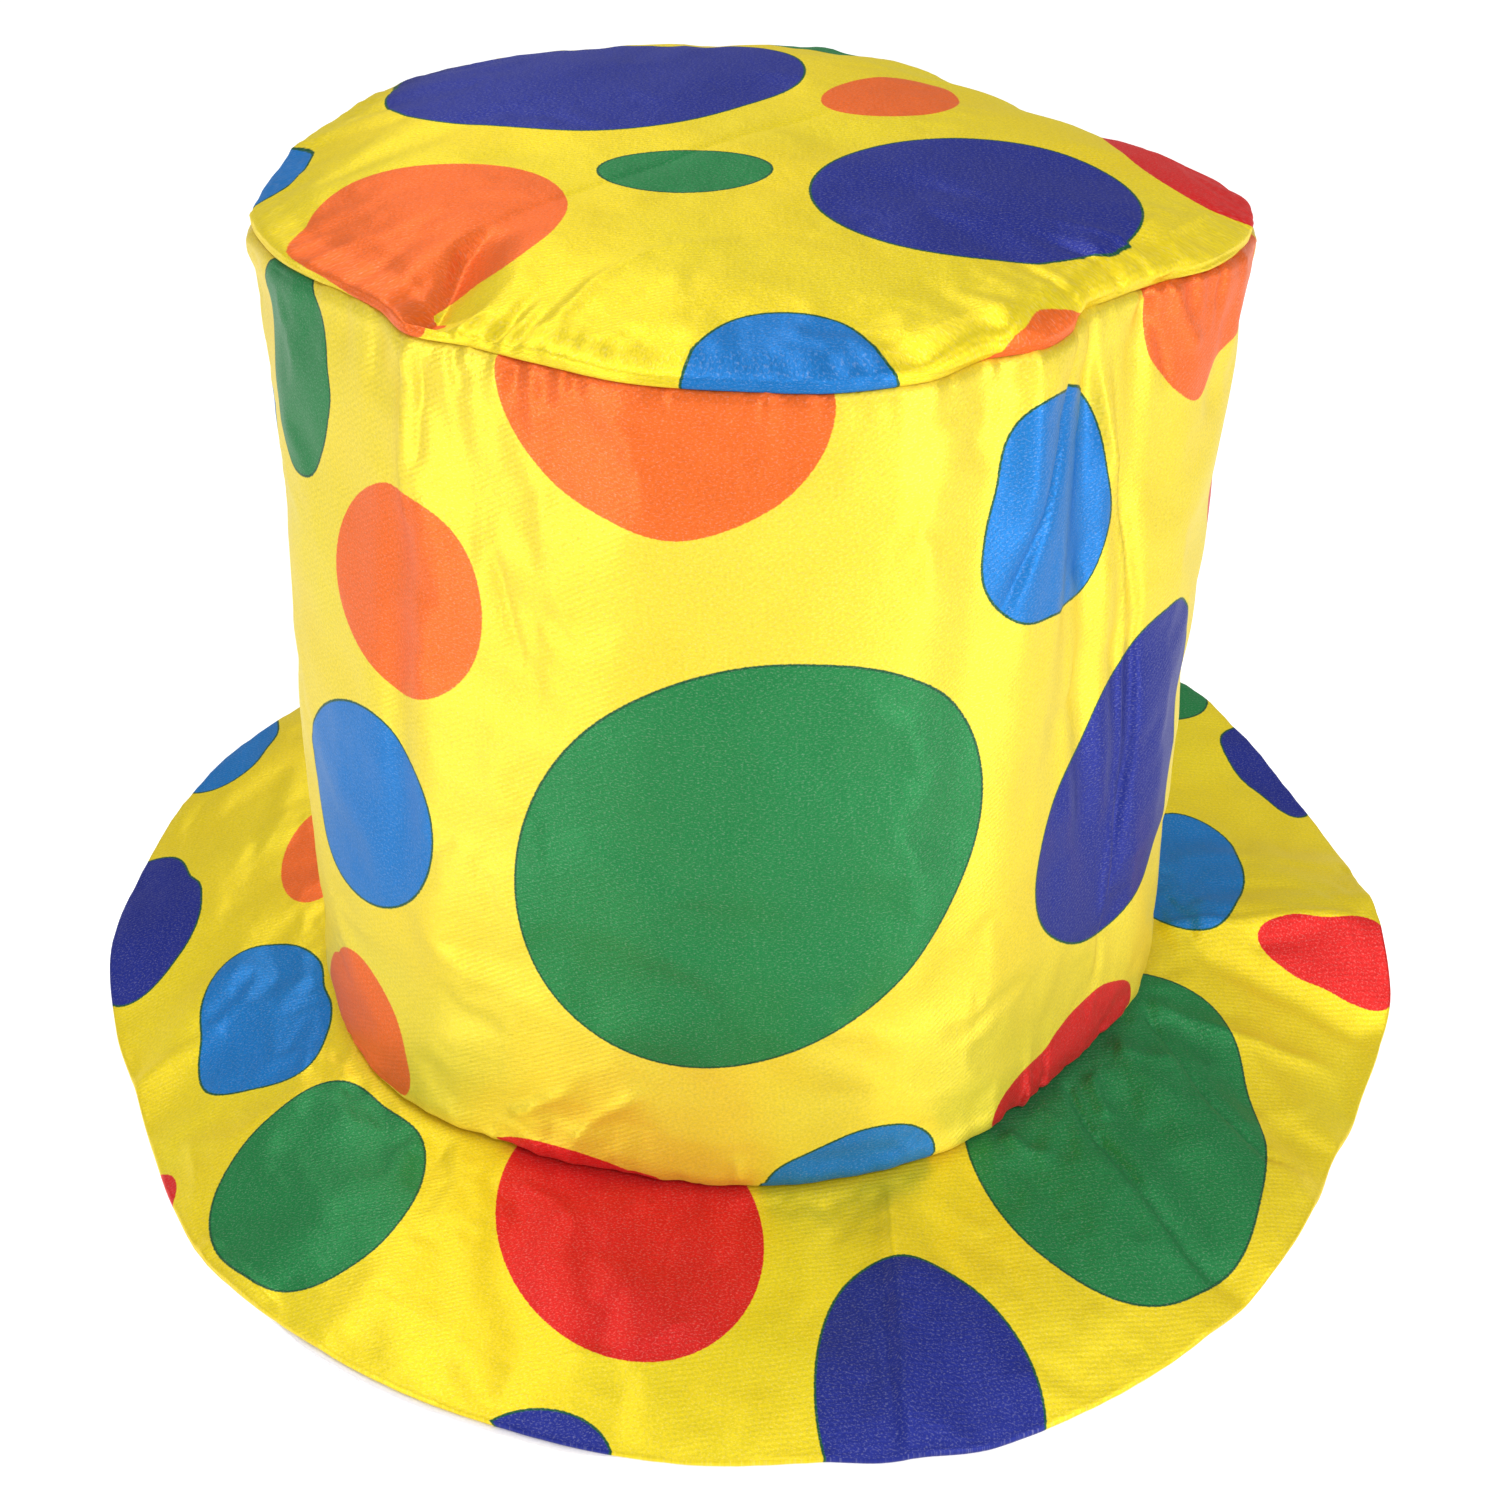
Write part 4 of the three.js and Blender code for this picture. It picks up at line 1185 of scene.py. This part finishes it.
for piece, node, slot in (
    (wall, "crown_side", "crown_satin"),
    (tip, "crown_tip", "tip_satin"),
    (brim, "brim", "brim_satin"),
    (lining, "brim_lining", "lining"),
):
    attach(piece, "root")
    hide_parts(node)


# Stage, light and camera

floor_mesh = bpy.data.meshes.new("floor")
floor_mesh.from_pydata([(-6, -6, 0), (6, -6, 0), (6, 6, 0), (-6, 6, 0)], [], [(0, 1, 2, 3)])
floor = add_object("floor", floor_mesh)
floor.location.z = -0.0002
pale = Nodes("pale_floor")
pale.put(pale.shader, {"Base Color": (0.93, 0.93, 0.93, 1), "Roughness": 0.9,
                       "Specular IOR Level": 0.1, "Emission Color": (1, 1, 1, 1),
                       "Emission Strength": 0.42})
floor_mesh.materials.append(pale.material)


def softbox(name, place, target, size, power):
    light = bpy.data.lights.new(name, "AREA")
    light.shape, light.size, light.size_y, light.energy = "RECTANGLE", size[0], size[1], power
    lamp = add_object(name, light)
    lamp.location = place
    way = np.array(target) - np.array(place)
    flat_way = math.hypot(way[0], way[1])
    lamp.rotation_euler = (math.pi / 2 + math.atan2(way[2], flat_way), 0,
                           math.atan2(way[1], way[0]) - math.pi / 2)


def around_hat(azimuth, elevation, distance):
    a, e = math.radians(azimuth), math.radians(elevation)
    return (distance * math.cos(e) * math.cos(a), distance * math.cos(e) * math.sin(a),
            0.1 + distance * math.sin(e))


softbox("key_left", around_hat(-141, 17, 1.5), (0, 0, 0.12), (0.3, 1.0), 7)
softbox("key_right", around_hat(-39, 17, 1.5), (0, 0, 0.12), (0.3, 1.0), 8.5)
softbox("front", around_hat(-62, 52, 1.6), (0, 0, 0.1), (0.9, 0.7), 7.4)
softbox("top", around_hat(140, 70, 1.5), (0, 0, 0.15), (0.8, 0.8), 8.8)

world = bpy.data.worlds.new("studio")
bpy.context.scene.world = world
world.use_nodes = True
sky = world.node_tree.nodes["Background"].inputs
sky["Color"].default_value, sky["Strength"].default_value = (1, 1, 1, 1), 0.33

camera_data = bpy.data.cameras.new("camera")
camera_data.lens = 52.8
camera_data.sensor_width = 36
camera_data.clip_start = 0.01
camera = add_object("camera", camera_data)
camera.location = EYE * MM
camera.rotation_euler = (math.radians(55.66), 0, 0)
bpy.context.scene.camera = camera
bpy.context.scene.view_settings.view_transform = "Standard"
